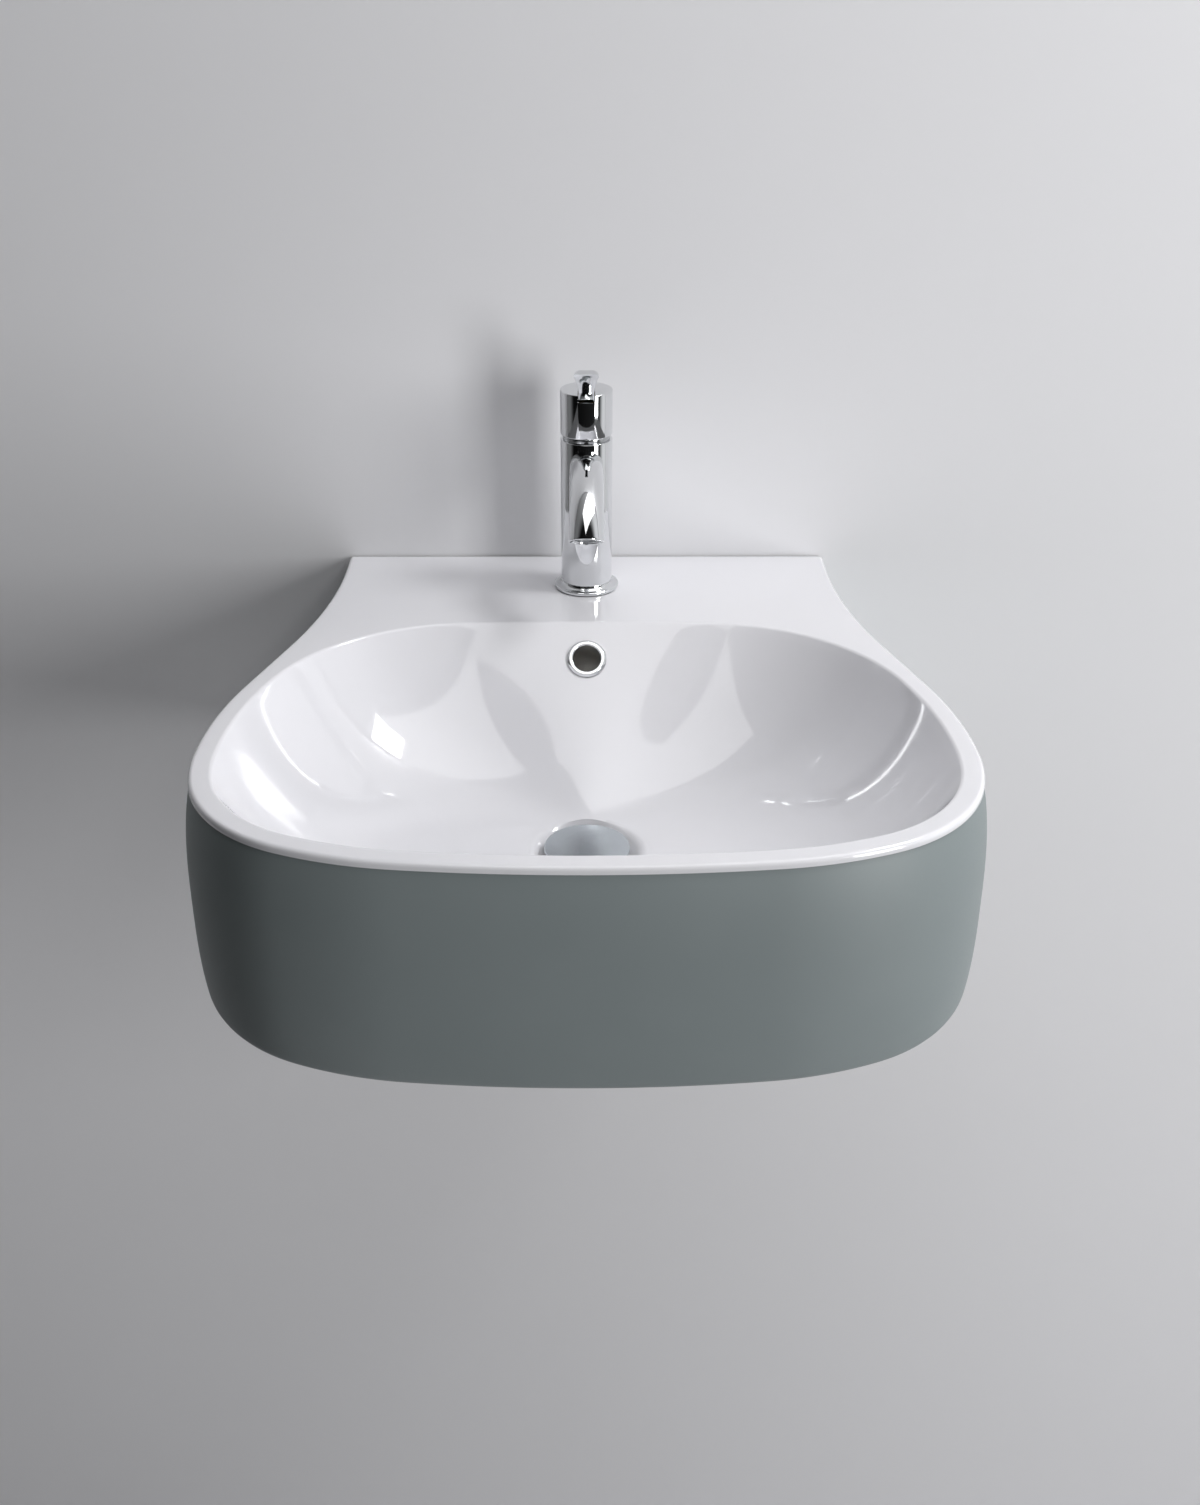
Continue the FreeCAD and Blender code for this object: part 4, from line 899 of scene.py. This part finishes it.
    def shaped(self, clay: bpy.types.Object, tool: bpy.types.Object, number: int, how: Carve) -> None:
        """Cut a tool from the clay, or join it, so that its faces carry one of the clay's finishes.

        Args:
            clay: the clay.
            tool: the tool shape, which is used up.
            number: number of the finish in the clay's finishes.
            how: whether it is cut or joined.
        """
        dress(tool, *CLAY_FINISHES)
        for face in tool.data.polygons:
            face.material_index = number
        carve(clay, tool, how)

    def under_details(self, clay: bpy.types.Object) -> None:
        """Join the tap pad, the fixing bosses and the overflow duct to the clay."""
        radius, low, high = self.tap_pad
        bottom, top = (mm(0, self.tap_y, self.rim - depth) for depth in (low, high))
        pads = [rod("pad", radius * MM, bottom, top)]
        radius, front, back = self.fixing_boss
        for x in (-self.fixing_x, self.fixing_x):
            pads.append(rod("boss", radius * MM, mm(x, front, 0), mm(x, back, 0)))
        pads.append(self.duct(*self.duct_body))
        for pad in pads:
            self.shaped(clay, pad, BARE, Carve.JOIN)

    def duct(self, top: float, near: float, far: float, half: float) -> bpy.types.Object:
        """Bar that follows the bowl's back wall from behind.

        Args:
            top: level of its upper end on the bowl's wall, where 1 is the edge of the bowl.
            near: distance of its near side from the bowl.
            far: distance of its far side from the bowl.
            half: half its width.

        Returns:
            The closed bar.
        """
        start = self.plan.waste_y + self.bowl_start
        steps = 8
        line = []
        for k in range(steps + 1):
            level = top - (top - self.duct_low) * k / steps
            drop = self.bowl_depth * (1 - level ** self.back_fullness)
            line.append(Vector((start + (-self.plan.bowl_back - start) * level, self.rim - drop)))
        sides: tuple[list[Vector], list[Vector]] = ([], [])
        for k, point in enumerate(line):
            along = (line[min(k + 1, steps)] - line[max(k - 1, 0)]).normalized()
            out = Vector((-along.y, along.x))
            for side, distance in zip(sides, (near, far)):
                moved = point + out * distance
                side.append(Vector((moved.x, min(moved.y, self.rim - self.duct_below_rim))))
        outline = [mm(-half, p.x, p.y) for p in sides[0] + list(reversed(sides[1]))]
        return prism("duct", outline, mm(2 * half, 0, 0))

    def holes(self, clay: bpy.types.Object) -> None:
        """Cut the tap hole, the overflow, the wall fixing holes and the pipe opening."""
        place = self.overflow()
        deep, over, seat, out = (place @ mm(0, 0, z) for z in (-24, 2, -self.overflow_seat_depth, 6))
        tap_low, tap_high = mm(0, self.tap_y, 40), mm(0, self.tap_y, self.rim + 5)
        half, front, top = self.pipe_opening
        tools = [
            (self.duct(*self.duct_hollow), BARE),
            (rod("tap_hole", self.tap_hole * MM, tap_low, tap_high), GLOSS),
            (rod("overflow_hole", self.overflow_hole * MM, deep, over, 96), GLOSS),
            (rod("overflow_seat", self.overflow_seat * MM, seat, out, 96), GLOSS),
            (box("pipes", mm(-half, front, -self.rim - 2), mm(half, 2, top - self.rim)), BARE),
        ]
        for x in (-self.fixing_x, self.fixing_x):
            tools.append((rod("fixing", self.fixing_hole * MM, mm(x, -40, 0), mm(x, 4, 0)), BARE))
        for tool, number in tools:
            self.shaped(clay, tool, number, Carve.CUT)


# ---------------------------------------------------------------- tap

@dataclass
class Tap:
    """Mixer tap: body, base ring, spout, groove ring, turning head and lever, in millimetres."""

    y: float = -70.0
    deck: float = 95.0
    radius: float = 22.7
    body: tuple[float, float] = (7.6, 138.5)
    neck: tuple[float, float] = (19.3, 158.0)
    seat: tuple[float, float] = (17.4, 131.0)
    body_foot: tuple[float, float] = (16.3, -3.0)
    neck_wall: float = 1.3
    seat_height: float = 20.0
    base_radius: float = 28.6
    base_bore: float = 16.7
    base_gap: float = 0.8
    base_edge: tuple[float, float, float] = (3.2, 0.6, 3.8)
    base_hollow: tuple[float, float] = (2.2, 1.2)
    groove: tuple[float, float, float] = (20.7, 138.5, 142.8)
    head: tuple[float, float] = (143.1, 181.8)
    head_walls: tuple[float, float] = (3.0, 3.5)
    slot: tuple[float, float, float] = (7.4, 4.5, 175.9)
    spout_radius: float = 14.7
    spout_bore: float = 11.5
    spout_height: float = 118.7
    spout_straight: float = 30.6
    bend_radius: float = 80.0
    bend: float = 59.0
    spout_root: float = 12.0
    spout_edge: float = 0.8
    mouth: tuple[float, float] = (12.1, 10.6)
    mouth_break: float = 0.4
    lever_root: float = 6.7
    lever_tip: float = 10.5
    lever_flare: float = 184.0
    lever_shoulder: float = 200.5
    lever_sag: float = 1.1
    lever_crown: float = 5.5
    stem_half: float = 4.1
    screw_hole: tuple[float, float] = (2.5, 168.2)

    @property
    def place(self) -> Matrix:
        """Foot of the tap's axis on the deck."""
        return Matrix.Translation(mm(0, self.y, self.deck))

    def build(self) -> list[bpy.types.Object]:
        """Model every chrome piece of the tap.

        Returns:
            The pieces.
        """
        return [
            self.body_piece(), self.base_ring(), self.groove_piece(), self.head_piece(),
            self.spout(), self.aerator(), self.lever(),
        ]

    def body_piece(self) -> bpy.types.Object:
        """Tall round body with its neck, bored for the cartridge."""
        low, high = self.body
        neck, neck_top = self.neck
        bore, seat = self.seat
        inner, top = neck - self.neck_wall, seat + self.seat_height
        foot, foot_low = self.body_foot
        profile = soften([
            (0, foot_low), (foot, foot_low), (foot, low), (self.radius, low), (self.radius, high),
            (neck, high), (neck, neck_top), (inner, neck_top), (inner, top), (bore, top), (bore, seat),
            (0, seat),
        ], 0.6)
        piece = placed(spin("tap_body_shell", profile, 128), self.place)
        smooth(piece)
        dress(piece, CHROME)
        stand_for(piece, "tap_body")
        return piece

    def base_ring(self) -> bpy.types.Object:
        """Ring under the body, with a hollow throat above a low rounded lip."""
        top = self.body[0]
        edge, inward, lip = self.base_edge
        start, end = Vector((self.base_radius - inward, lip)), Vector((self.radius, top))
        bend = (start + end) / 2 - Vector(self.base_hollow)
        throat = [
            tuple(start * (1 - t) ** 2 + bend * 2 * t * (1 - t) + end * t * t)
            for t in (k / 10 for k in range(11))
        ]
        rim = [(self.base_bore, self.base_gap), (self.base_radius, self.base_gap), (self.base_radius, edge)]
        profile = soften(rim + throat + [(self.base_bore, top)], 0.5)
        piece = placed(spin("tap_foot_ring", profile, 128), self.place)
        smooth(piece)
        dress(piece, CHROME)
        stand_for(piece, "tap_base_ring")
        return piece

    def groove_piece(self) -> bpy.types.Object:
        """Plain ring in the groove under the head."""
        outer, low, high = self.groove
        profile = soften([(self.neck[0], low), (outer, low), (outer, high), (self.neck[0], high)], 0.3)
        piece = placed(spin("head_groove", profile, 128), self.place)
        smooth(piece)
        # The ring's darker chrome is painted shade of the groove.
        dress(piece, GROOVE_CHROME_PAINTED_SHADE)
        stand_for(piece, "groove_ring")
        return piece

    def head_piece(self) -> bpy.types.Object:
        """Turning head with the slot for the lever."""
        low, high = self.head
        wall, top_wall = self.head_walls
        inner, under = self.radius - wall, high - top_wall
        profile = soften([
            (inner, low), (self.radius, low), (self.radius, high), (0, high), (0, under), (inner, under),
        ], 0.9, 6)
        piece = spin("head_shell", profile, 128)
        half, back, floor = self.slot
        carve(piece, box("slot", mm(-half, -self.radius - 2, floor), mm(half, back, high + 2)), Carve.CUT)
        ease_edges(piece, 0.35 * MM, 50)
        smooth(placed(piece, self.place))
        dress(piece, CHROME)
        stand_for(piece, "head_cap")
        return piece

    def spout_frame(self, share: float) -> tuple[Vector, Vector, Vector]:
        """Middle, upward and forward directions at a share of the spout's bend, from the tap's axis."""
        turn = math.radians(self.bend) * share
        way = Vector((0, -math.cos(turn), -math.sin(turn)))
        up = Vector((0, -math.sin(turn), math.cos(turn)))
        pivot = Vector((0, -self.spout_straight, self.spout_height - self.bend_radius))
        return pivot + up * self.bend_radius, up, way

    def spout(self) -> bpy.types.Object:
        """Curved round spout with a rounded mouth, hollow to the body."""
        steps, straights, edges = 40, 4, 6
        root, edge = self.spout_root, self.spout_edge
        stations = []
        for k in range(straights):
            forward = root + (self.spout_straight - root) * k / straights
            stations.append((Vector((0, -forward, self.spout_height)), Vector((0, 0, 1))))
        for k in range(steps + 1):
            middle, up, _ = self.spout_frame(k / steps)
            stations.append((middle, up))
        end, up, way = self.spout_frame(1.0)
        rings = [self.spout_ring(middle, rise, self.spout_radius) for middle, rise in stations[:-1]]
        for k in range(edges):
            turn = math.radians(90 * k / (edges - 1))
            back, inward = edge * (1 - math.sin(turn)), edge * (1 - math.cos(turn))
            rings.append(self.spout_ring(end - way * back, up, self.spout_radius - inward))
        mouth, deep = self.mouth
        rings.append(self.spout_ring(end, up, mouth + self.mouth_break))
        rings.append(self.spout_ring(end - way * self.mouth_break, up, mouth))
        rings.append(self.spout_ring(end - way * deep, up, mouth))
        rings.append(self.spout_ring(end - way * deep, up, self.spout_bore))
        inside = reversed(stations[:-7])
        rings += [self.spout_ring(middle, rise, self.spout_bore) for middle, rise in inside]
        piece = ring_stack("spout_tube", rings)
        carve(piece, rod("body_room", self.radius * MM, mm(0, 0, 60), mm(0, 0, 170), 128), Carve.CUT)
        smooth(placed(piece, self.place))
        dress(piece, CHROME)
        stand_for(piece, "spout")
        return piece

    def spout_ring(self, middle: Vector, up: Vector, radius: float) -> list[Vector]:
        """Ring of points round the spout's line."""
        count = 72
        side = Vector((1, 0, 0))
        ring = []
        for k in range(count):
            turn = math.tau * k / count
            ring.append((middle + side * (radius * math.cos(turn)) + up * (radius * math.sin(turn))) * MM)
        return ring

    def aerator(self) -> bpy.types.Object:
        """Threaded ring in the mouth of the spout."""
        profile = soften([
            (9.9, 1.0), (12.0, 1.0), (12.0, 9.0), (10.7, 9.0), (10.7, 2.2), (9.9, 2.2),
        ], 0.35)
        piece = spin("mouth_ring", profile)
        end, _, way = self.spout_frame(1.0)
        turn = (-way).to_track_quat("Z", "X").to_matrix().to_4x4()
        placed(piece, self.place @ Matrix.Translation(end * MM) @ turn)
        smooth(piece)
        dress(piece, CHROME)
        stand_for(piece, "aerator_housing")
        return piece

    def lever(self) -> bpy.types.Object:
        """Bent lever: hub, root through the slot, and a paddle that widens and leans forward."""
        front, tip = -22.2, -31.7
        outline = [
            (-8.0, 165.0), (6.5, 165.0), (6.5, 170.5), (5.0, 172.0), (-3.0, 172.0), (-13.2, 181.45),
            (-17.2, 184.0), (tip + 8, 203.0), (tip + 6, 205.0), (tip, 203.0), (front, 179.2),
            (front + 2, 177.2), (-10.0, 175.7), (-8.0, 170.5),
        ]
        piece = prism("lever_paddle", [mm(-12, y, z) for y, z in outline], mm(24, 0, 0))
        plan = self.lever_front()
        carve(piece, prism("front_shape", [mm(x, -60, z) for x, z in plan], mm(0, 90, 0)), Carve.KEEP)
        half = self.stem_half
        carve(piece, box("socket", mm(-half, -half, 164), mm(half, half, 170.6)), Carve.CUT)
        radius, height = self.screw_hole
        carve(piece, rod("screw_hole", radius * MM, mm(0, -9, height), mm(0, -3, height), 48), Carve.CUT)
        ease_edges(piece, 0.8 * MM, 25, 4)
        smooth(placed(piece, self.place), 50)
        dress(piece, CHROME)
        stand_for(piece, "lever")
        return piece

    def lever_front(self) -> Profile:
        """Front view of the lever: straight root, hollow widening sides and a round top."""
        wide, root, flare, shoulder = self.lever_tip, self.lever_root, self.lever_flare, self.lever_shoulder
        steps = 10
        right = [(root, 160.0)]
        for k in range(steps + 1):
            t = k / steps
            hollow = 4 * self.lever_sag * t * (1 - t)
            right.append((root + (wide - root) * t - hollow, flare + (shoulder - flare) * t))
        for k in range(1, steps):
            turn = math.radians(90 * k / steps)
            right.append((wide * math.cos(turn), shoulder + self.lever_crown * math.sin(turn)))
        return right + [(0.0, shoulder + self.lever_crown)] + [(-x, z) for x, z in reversed(right)]


# ---------------------------------------------------------------- waste and overflow

@dataclass
class Waste:
    """The cap of the click waste and the overflow's ring, in millimetres."""

    y: float = -336.0
    cap_radius: float = 34.5
    cap_top: float = -20.0
    cap_height: float = 4.0
    cap_boss: tuple[float, float, float] = (4.4, 8.0, 4.0)
    cap_crown: float = 0.25

    def build(self, overflow: Matrix) -> list[bpy.types.Object]:
        """Model the cap and the ring.

        Args:
            overflow: place of the overflow.

        Returns:
            The two pieces.
        """
        return [self.cap(), self.ring(overflow)]

    def cap(self) -> bpy.types.Object:
        """Flat round cap with a soft edge and a hollow boss below."""
        top, radius = self.cap_top, self.cap_radius
        low = top - self.cap_height
        bore, boss, boss_height = self.cap_boss
        profile = soften([
            (bore, low - boss_height), (boss, low - boss_height), (boss, low), (radius, low),
            (radius, top - self.cap_crown), (radius / 2, top), (0, top), (0, low), (bore, low),
        ], 1.1, 6)
        piece = placed(spin("cap_disc", profile, 128), Matrix.Translation(mm(0, self.y, 0)))
        smooth(piece)
        # The cap's bluish grey tint is painted reflection.
        dress(piece, SATIN_CHROME_PAINTED_REFLECTION)
        stand_for(piece, "waste_cap")
        return piece

    def ring(self, place: Matrix) -> bpy.types.Object:
        """Turned ring of the overflow, with a rounded face and a sleeve."""
        profile = soften([
            (11.8, -10), (13.0, -10), (13.0, 0), (16.8, 0), (16.8, 1.4), (15.0, 3.0), (12.6, 3.0),
            (11.8, 2.2),
        ], 0.7, 5)
        piece = placed(spin("overflow_trim", profile, 96), place)
        smooth(piece)
        dress(piece, CHROME)
        stand_for(piece, "overflow_ring")
        return piece


# ---------------------------------------------------------------- pieces that keep the frame's shape

@dataclass
class Fittings:
    """Pieces whose shape comes straight from the frame: copied, merged, eased and dressed."""

    finishes: dict[str, Finish] = field(default_factory=lambda: {
        "overflow_seal": RUBBER, "wall_bushes": WHITE_NYLON, "waste_body": CHROME,
        "waste_top_gasket": RUBBER, "waste_bottom_gasket": RUBBER, "waste_slip_washer": WHITE_NYLON,
        "waste_backnut": BRASS, "click_sleeve": DARK_NYLON, "click_plunger": GREY_NYLON,
        "waste_cap_seal": RUBBER, "tap_base_seal": RUBBER, "fixing_studs": BRASS,
        "clamp_rubber": RUBBER, "clamp_plate": STEEL, "stud_nuts": BRASS,
        "aerator_insert": GREY_NYLON, "aerator_washer": RUBBER, "cartridge_housing": WHITE_NYLON,
        "port_seals": RUBBER, "fixed_disc": LAPPED_DISC, "moving_disc": LAPPED_DISC,
        "disc_slider": DARK_NYLON, "turret": DARK_NYLON, "pivot_pin": STEEL,
        "cartridge_stem": STEEL, "cartridge_nut": BRASS, "head_yoke": BRASS, "lever_screw": STEEL,
    })
    ease: float = 0.2

    def build(self) -> None:
        """Copy, finish and dress each piece, and dress the spring as it is."""
        for node, finish in self.finishes.items():
            self.copy(node, finish)
        spring = frame["nodes"]["click_spring"]
        dress(spring, SPRING_WIRE)

    def copy(self, node: str, finish: Finish) -> bpy.types.Object:
        """Merge a copy of a node, ease its edges and put it in the node's place.

        Args:
            node: name of the node.
            finish: its finish.

        Returns:
            The finished piece.
        """
        source = frame["nodes"][node]
        piece = bpy.data.objects.new(node + "_piece", source.data.copy())
        bpy.context.scene.collection.objects.link(piece)
        pick(piece)
        bpy.ops.object.mode_set(mode="EDIT")
        bpy.ops.mesh.select_all(action="SELECT")
        bpy.ops.mesh.remove_doubles(threshold=0.001 * MM)
        bpy.ops.mesh.customdata_custom_splitnormals_clear()
        bpy.ops.mesh.dissolve_limited(angle_limit=math.radians(0.5))
        bpy.ops.object.mode_set(mode="OBJECT")
        ease_edges(piece, self.ease * MM, 40, 2)
        smooth(piece, 35)
        dress(piece, finish)
        stand_for(piece, node)
        return piece


# ---------------------------------------------------------------- studio

@dataclass
class Studio:
    """Wall, floor, lamps and camera."""

    wall_colour: tuple[float, float, float] = (0.86, 0.86, 0.88)
    floor_colour: tuple[float, float, float] = (0.62, 0.62, 0.63)
    floor_z: float = -1.45
    background: float = 0.78
    eye: Vector = field(default_factory=lambda: mm(-0.87, -1491.7, 687.0))
    yaw: float = 0.009526
    pitch: float = 0.493669
    roll: float = 0.003056
    lens: float = 40.27

    def build(self) -> None:
        """Make the wall, the floor, the lamps, the world and the camera."""
        self.backdrop()
        self.lamps()
        self.world()
        self.camera()

    def sheet_material(self, name: str, colour: tuple[float, float, float]) -> bpy.types.Material:
        """Pale paint that is seen from its front only.

        Args:
            name: the material's name.
            colour: its colour.

        Returns:
            The material, clear from behind so that views from behind show the basin.
        """
        material = bpy.data.materials.new(name)
        material.use_nodes = True
        nodes, link = material.node_tree.nodes, material.node_tree.links.new
        shader = nodes["Principled BSDF"]
        shader.inputs["Base Color"].default_value = (*colour, 1)
        shader.inputs["Roughness"].default_value = 0.7
        shader.inputs["Specular IOR Level"].default_value = 0.2
        clear = nodes.new("ShaderNodeBsdfTransparent")
        side = nodes.new("ShaderNodeNewGeometry")
        mix = nodes.new("ShaderNodeMixShader")
        link(side.outputs["Backfacing"], mix.inputs["Fac"])
        link(shader.outputs["BSDF"], mix.inputs[1])
        link(clear.outputs["BSDF"], mix.inputs[2])
        link(mix.outputs["Shader"], nodes["Material Output"].inputs["Surface"])
        return material

    def backdrop(self) -> None:
        """Pale wall behind the basin and pale floor well below it."""
        wall = self.sheet("studio_wall", Vector((9, 4.4, 1)), Vector((0, 0.0015, 0.7)), 90)
        wall.data.materials.append(self.sheet_material("wall_paint", self.wall_colour))
        floor = self.sheet("studio_floor", Vector((9, 6, 1)), Vector((0, -3, self.floor_z)), 0)
        floor.data.materials.append(self.sheet_material("floor_paint", self.floor_colour))

    def sheet(self, name: str, size: Vector, at: Vector, tilt: float) -> bpy.types.Object:
        """Flat sheet of the studio.

        Args:
            name: the sheet's name.
            size: its width and height.
            at: its middle.
            tilt: how far its far edge is raised, in degrees.

        Returns:
            The sheet.
        """
        deselect()
        bpy.ops.mesh.primitive_plane_add(size=1, location=at, rotation=(math.radians(tilt), 0, 0))
        bpy.context.object.scale = size
        return named(name)

    def lamp(self, name: str, at: Vector, to: Vector, size: tuple[float, float], power: float) -> None:
        """Rectangular soft lamp.

        Args:
            name: the lamp's name.
            at: where it hangs.
            to: what it points at.
            size: its width and height.
            power: its power in watts.
        """
        data = bpy.data.lights.new(name, "AREA")
        data.shape = "RECTANGLE"
        data.size, data.size_y = size
        data.energy = power
        lamp = bpy.data.objects.new(name, data)
        lamp.location = at
        lamp.rotation_euler = (to - at).to_track_quat("-Z", "Y").to_euler()
        bpy.context.scene.collection.objects.link(lamp)

    def lamps(self) -> None:
        """Key lamp from the upper right, a low wide one at the right and a soft one above."""
        aim = Vector((0, -0.25, 0.05))
        self.lamp("key", Vector((1.25, -0.30, 1.85)), aim, (0.45, 0.45), 15)
        self.lamp("side", Vector((1.90, -2.10, 0.30)), aim, (0.7, 1.8), 42)
        self.lamp("top", Vector((0.35, -0.75, 2.2)), aim, (2.4, 1.3), 15)

    def world(self) -> None:
        """Surroundings: a pale room, brighter to the right, with a dark doorway in front."""
        world = bpy.data.worlds.new("surroundings")
        bpy.context.scene.world = world
        world.use_nodes = True
        nodes, link = world.node_tree.nodes, world.node_tree.links.new
        backing = nodes["Background"]
        way = nodes.new("ShaderNodeTexCoord")
        parts = nodes.new("ShaderNodeSeparateXYZ")
        link(way.outputs["Generated"], parts.inputs["Vector"])
        across = self.ramp(nodes, link, parts.outputs["X"], (-0.9, 0.9), (0.16, 0.75))
        doorway = self.ramp(nodes, link, parts.outputs["Y"], (-0.55, -0.20), (0.02, 1.0))
        room = self.mathed(nodes, link, "MULTIPLY", across, doorway)
        path = nodes.new("ShaderNodeLightPath")
        soft = self.ramp(nodes, link, path.outputs["Is Diffuse Ray"], (0.0, 1.0), (1.0, 0.26))
        lit = self.mathed(nodes, link, "MULTIPLY", room, soft)
        seen = self.mathed(nodes, link, "MULTIPLY", path.outputs["Is Camera Ray"], self.background)
        total = self.mathed(nodes, link, "MAXIMUM", lit, seen)
        backing.inputs["Color"].default_value = (0.97, 0.98, 1.0, 1)
        link(total, backing.inputs["Strength"])

    def ramp(self, nodes, link, source, span: Pair, values: Pair) -> bpy.types.NodeSocket:
        """Smooth step of a value between two values.

        Args:
            nodes: the tree's nodes.
            link: the tree's call that links two sockets.
            source: socket of the value.
            span: where the step starts and ends.
            values: what it gives there.

        Returns:
            Socket of the stepped value.
        """
        step = nodes.new("ShaderNodeMapRange")
        step.interpolation_type = "SMOOTHSTEP"
        step.inputs["From Min"].default_value, step.inputs["From Max"].default_value = span
        step.inputs["To Min"].default_value, step.inputs["To Max"].default_value = values
        link(source, step.inputs["Value"])
        return step.outputs["Result"]

    def mathed(self, nodes, link, operation: str, first, second) -> bpy.types.NodeSocket:
        """Two values combined, the second a socket or a number; gives the result's socket."""
        node = nodes.new("ShaderNodeMath")
        node.operation = operation
        link(first, node.inputs[0])
        if isinstance(second, float):
            node.inputs[1].default_value = second
        else:
            link(second, node.inputs[1])
        return node.outputs["Value"]

    def camera(self) -> None:
        """Camera at the photograph's place and angle."""
        data = bpy.data.cameras.new("photo_camera")
        data.lens = self.lens
        data.sensor_width = 36.0
        data.clip_start, data.clip_end = 0.01, 50
        camera = bpy.data.objects.new("photo_camera", data)
        ahead = Vector((
            math.sin(self.yaw) * math.cos(self.pitch),
            math.cos(self.yaw) * math.cos(self.pitch),
            -math.sin(self.pitch),
        ))
        right = Vector((math.cos(self.yaw), -math.sin(self.yaw), 0))
        up = right.cross(ahead)
        tilted = right * math.cos(self.roll) + up * math.sin(self.roll)
        risen = up * math.cos(self.roll) - right * math.sin(self.roll)
        turn = Matrix((tilted, risen, -ahead)).transposed()
        camera.location = self.eye
        camera.rotation_euler = turn.to_euler()
        bpy.context.scene.collection.objects.link(camera)
        bpy.context.scene.camera = camera


def main() -> None:
    """Build and dress the basin, then light it."""
    logging.basicConfig(level=logging.INFO, format="%(name)s: %(message)s")
    bpy.context.scene.view_settings.view_transform = "Standard"
    clay = Clay()
    piece = clay.build()
    stand_for(piece, "ceramic_deck", "ceramic_rim", "ceramic_skirt", "ceramic_back_wall", "ceramic_bowl")
    Tap().build()
    Waste().build(clay.overflow())
    Fittings().build()
    Studio().build()
    deselect()


if __name__ == "__main__":
    main()
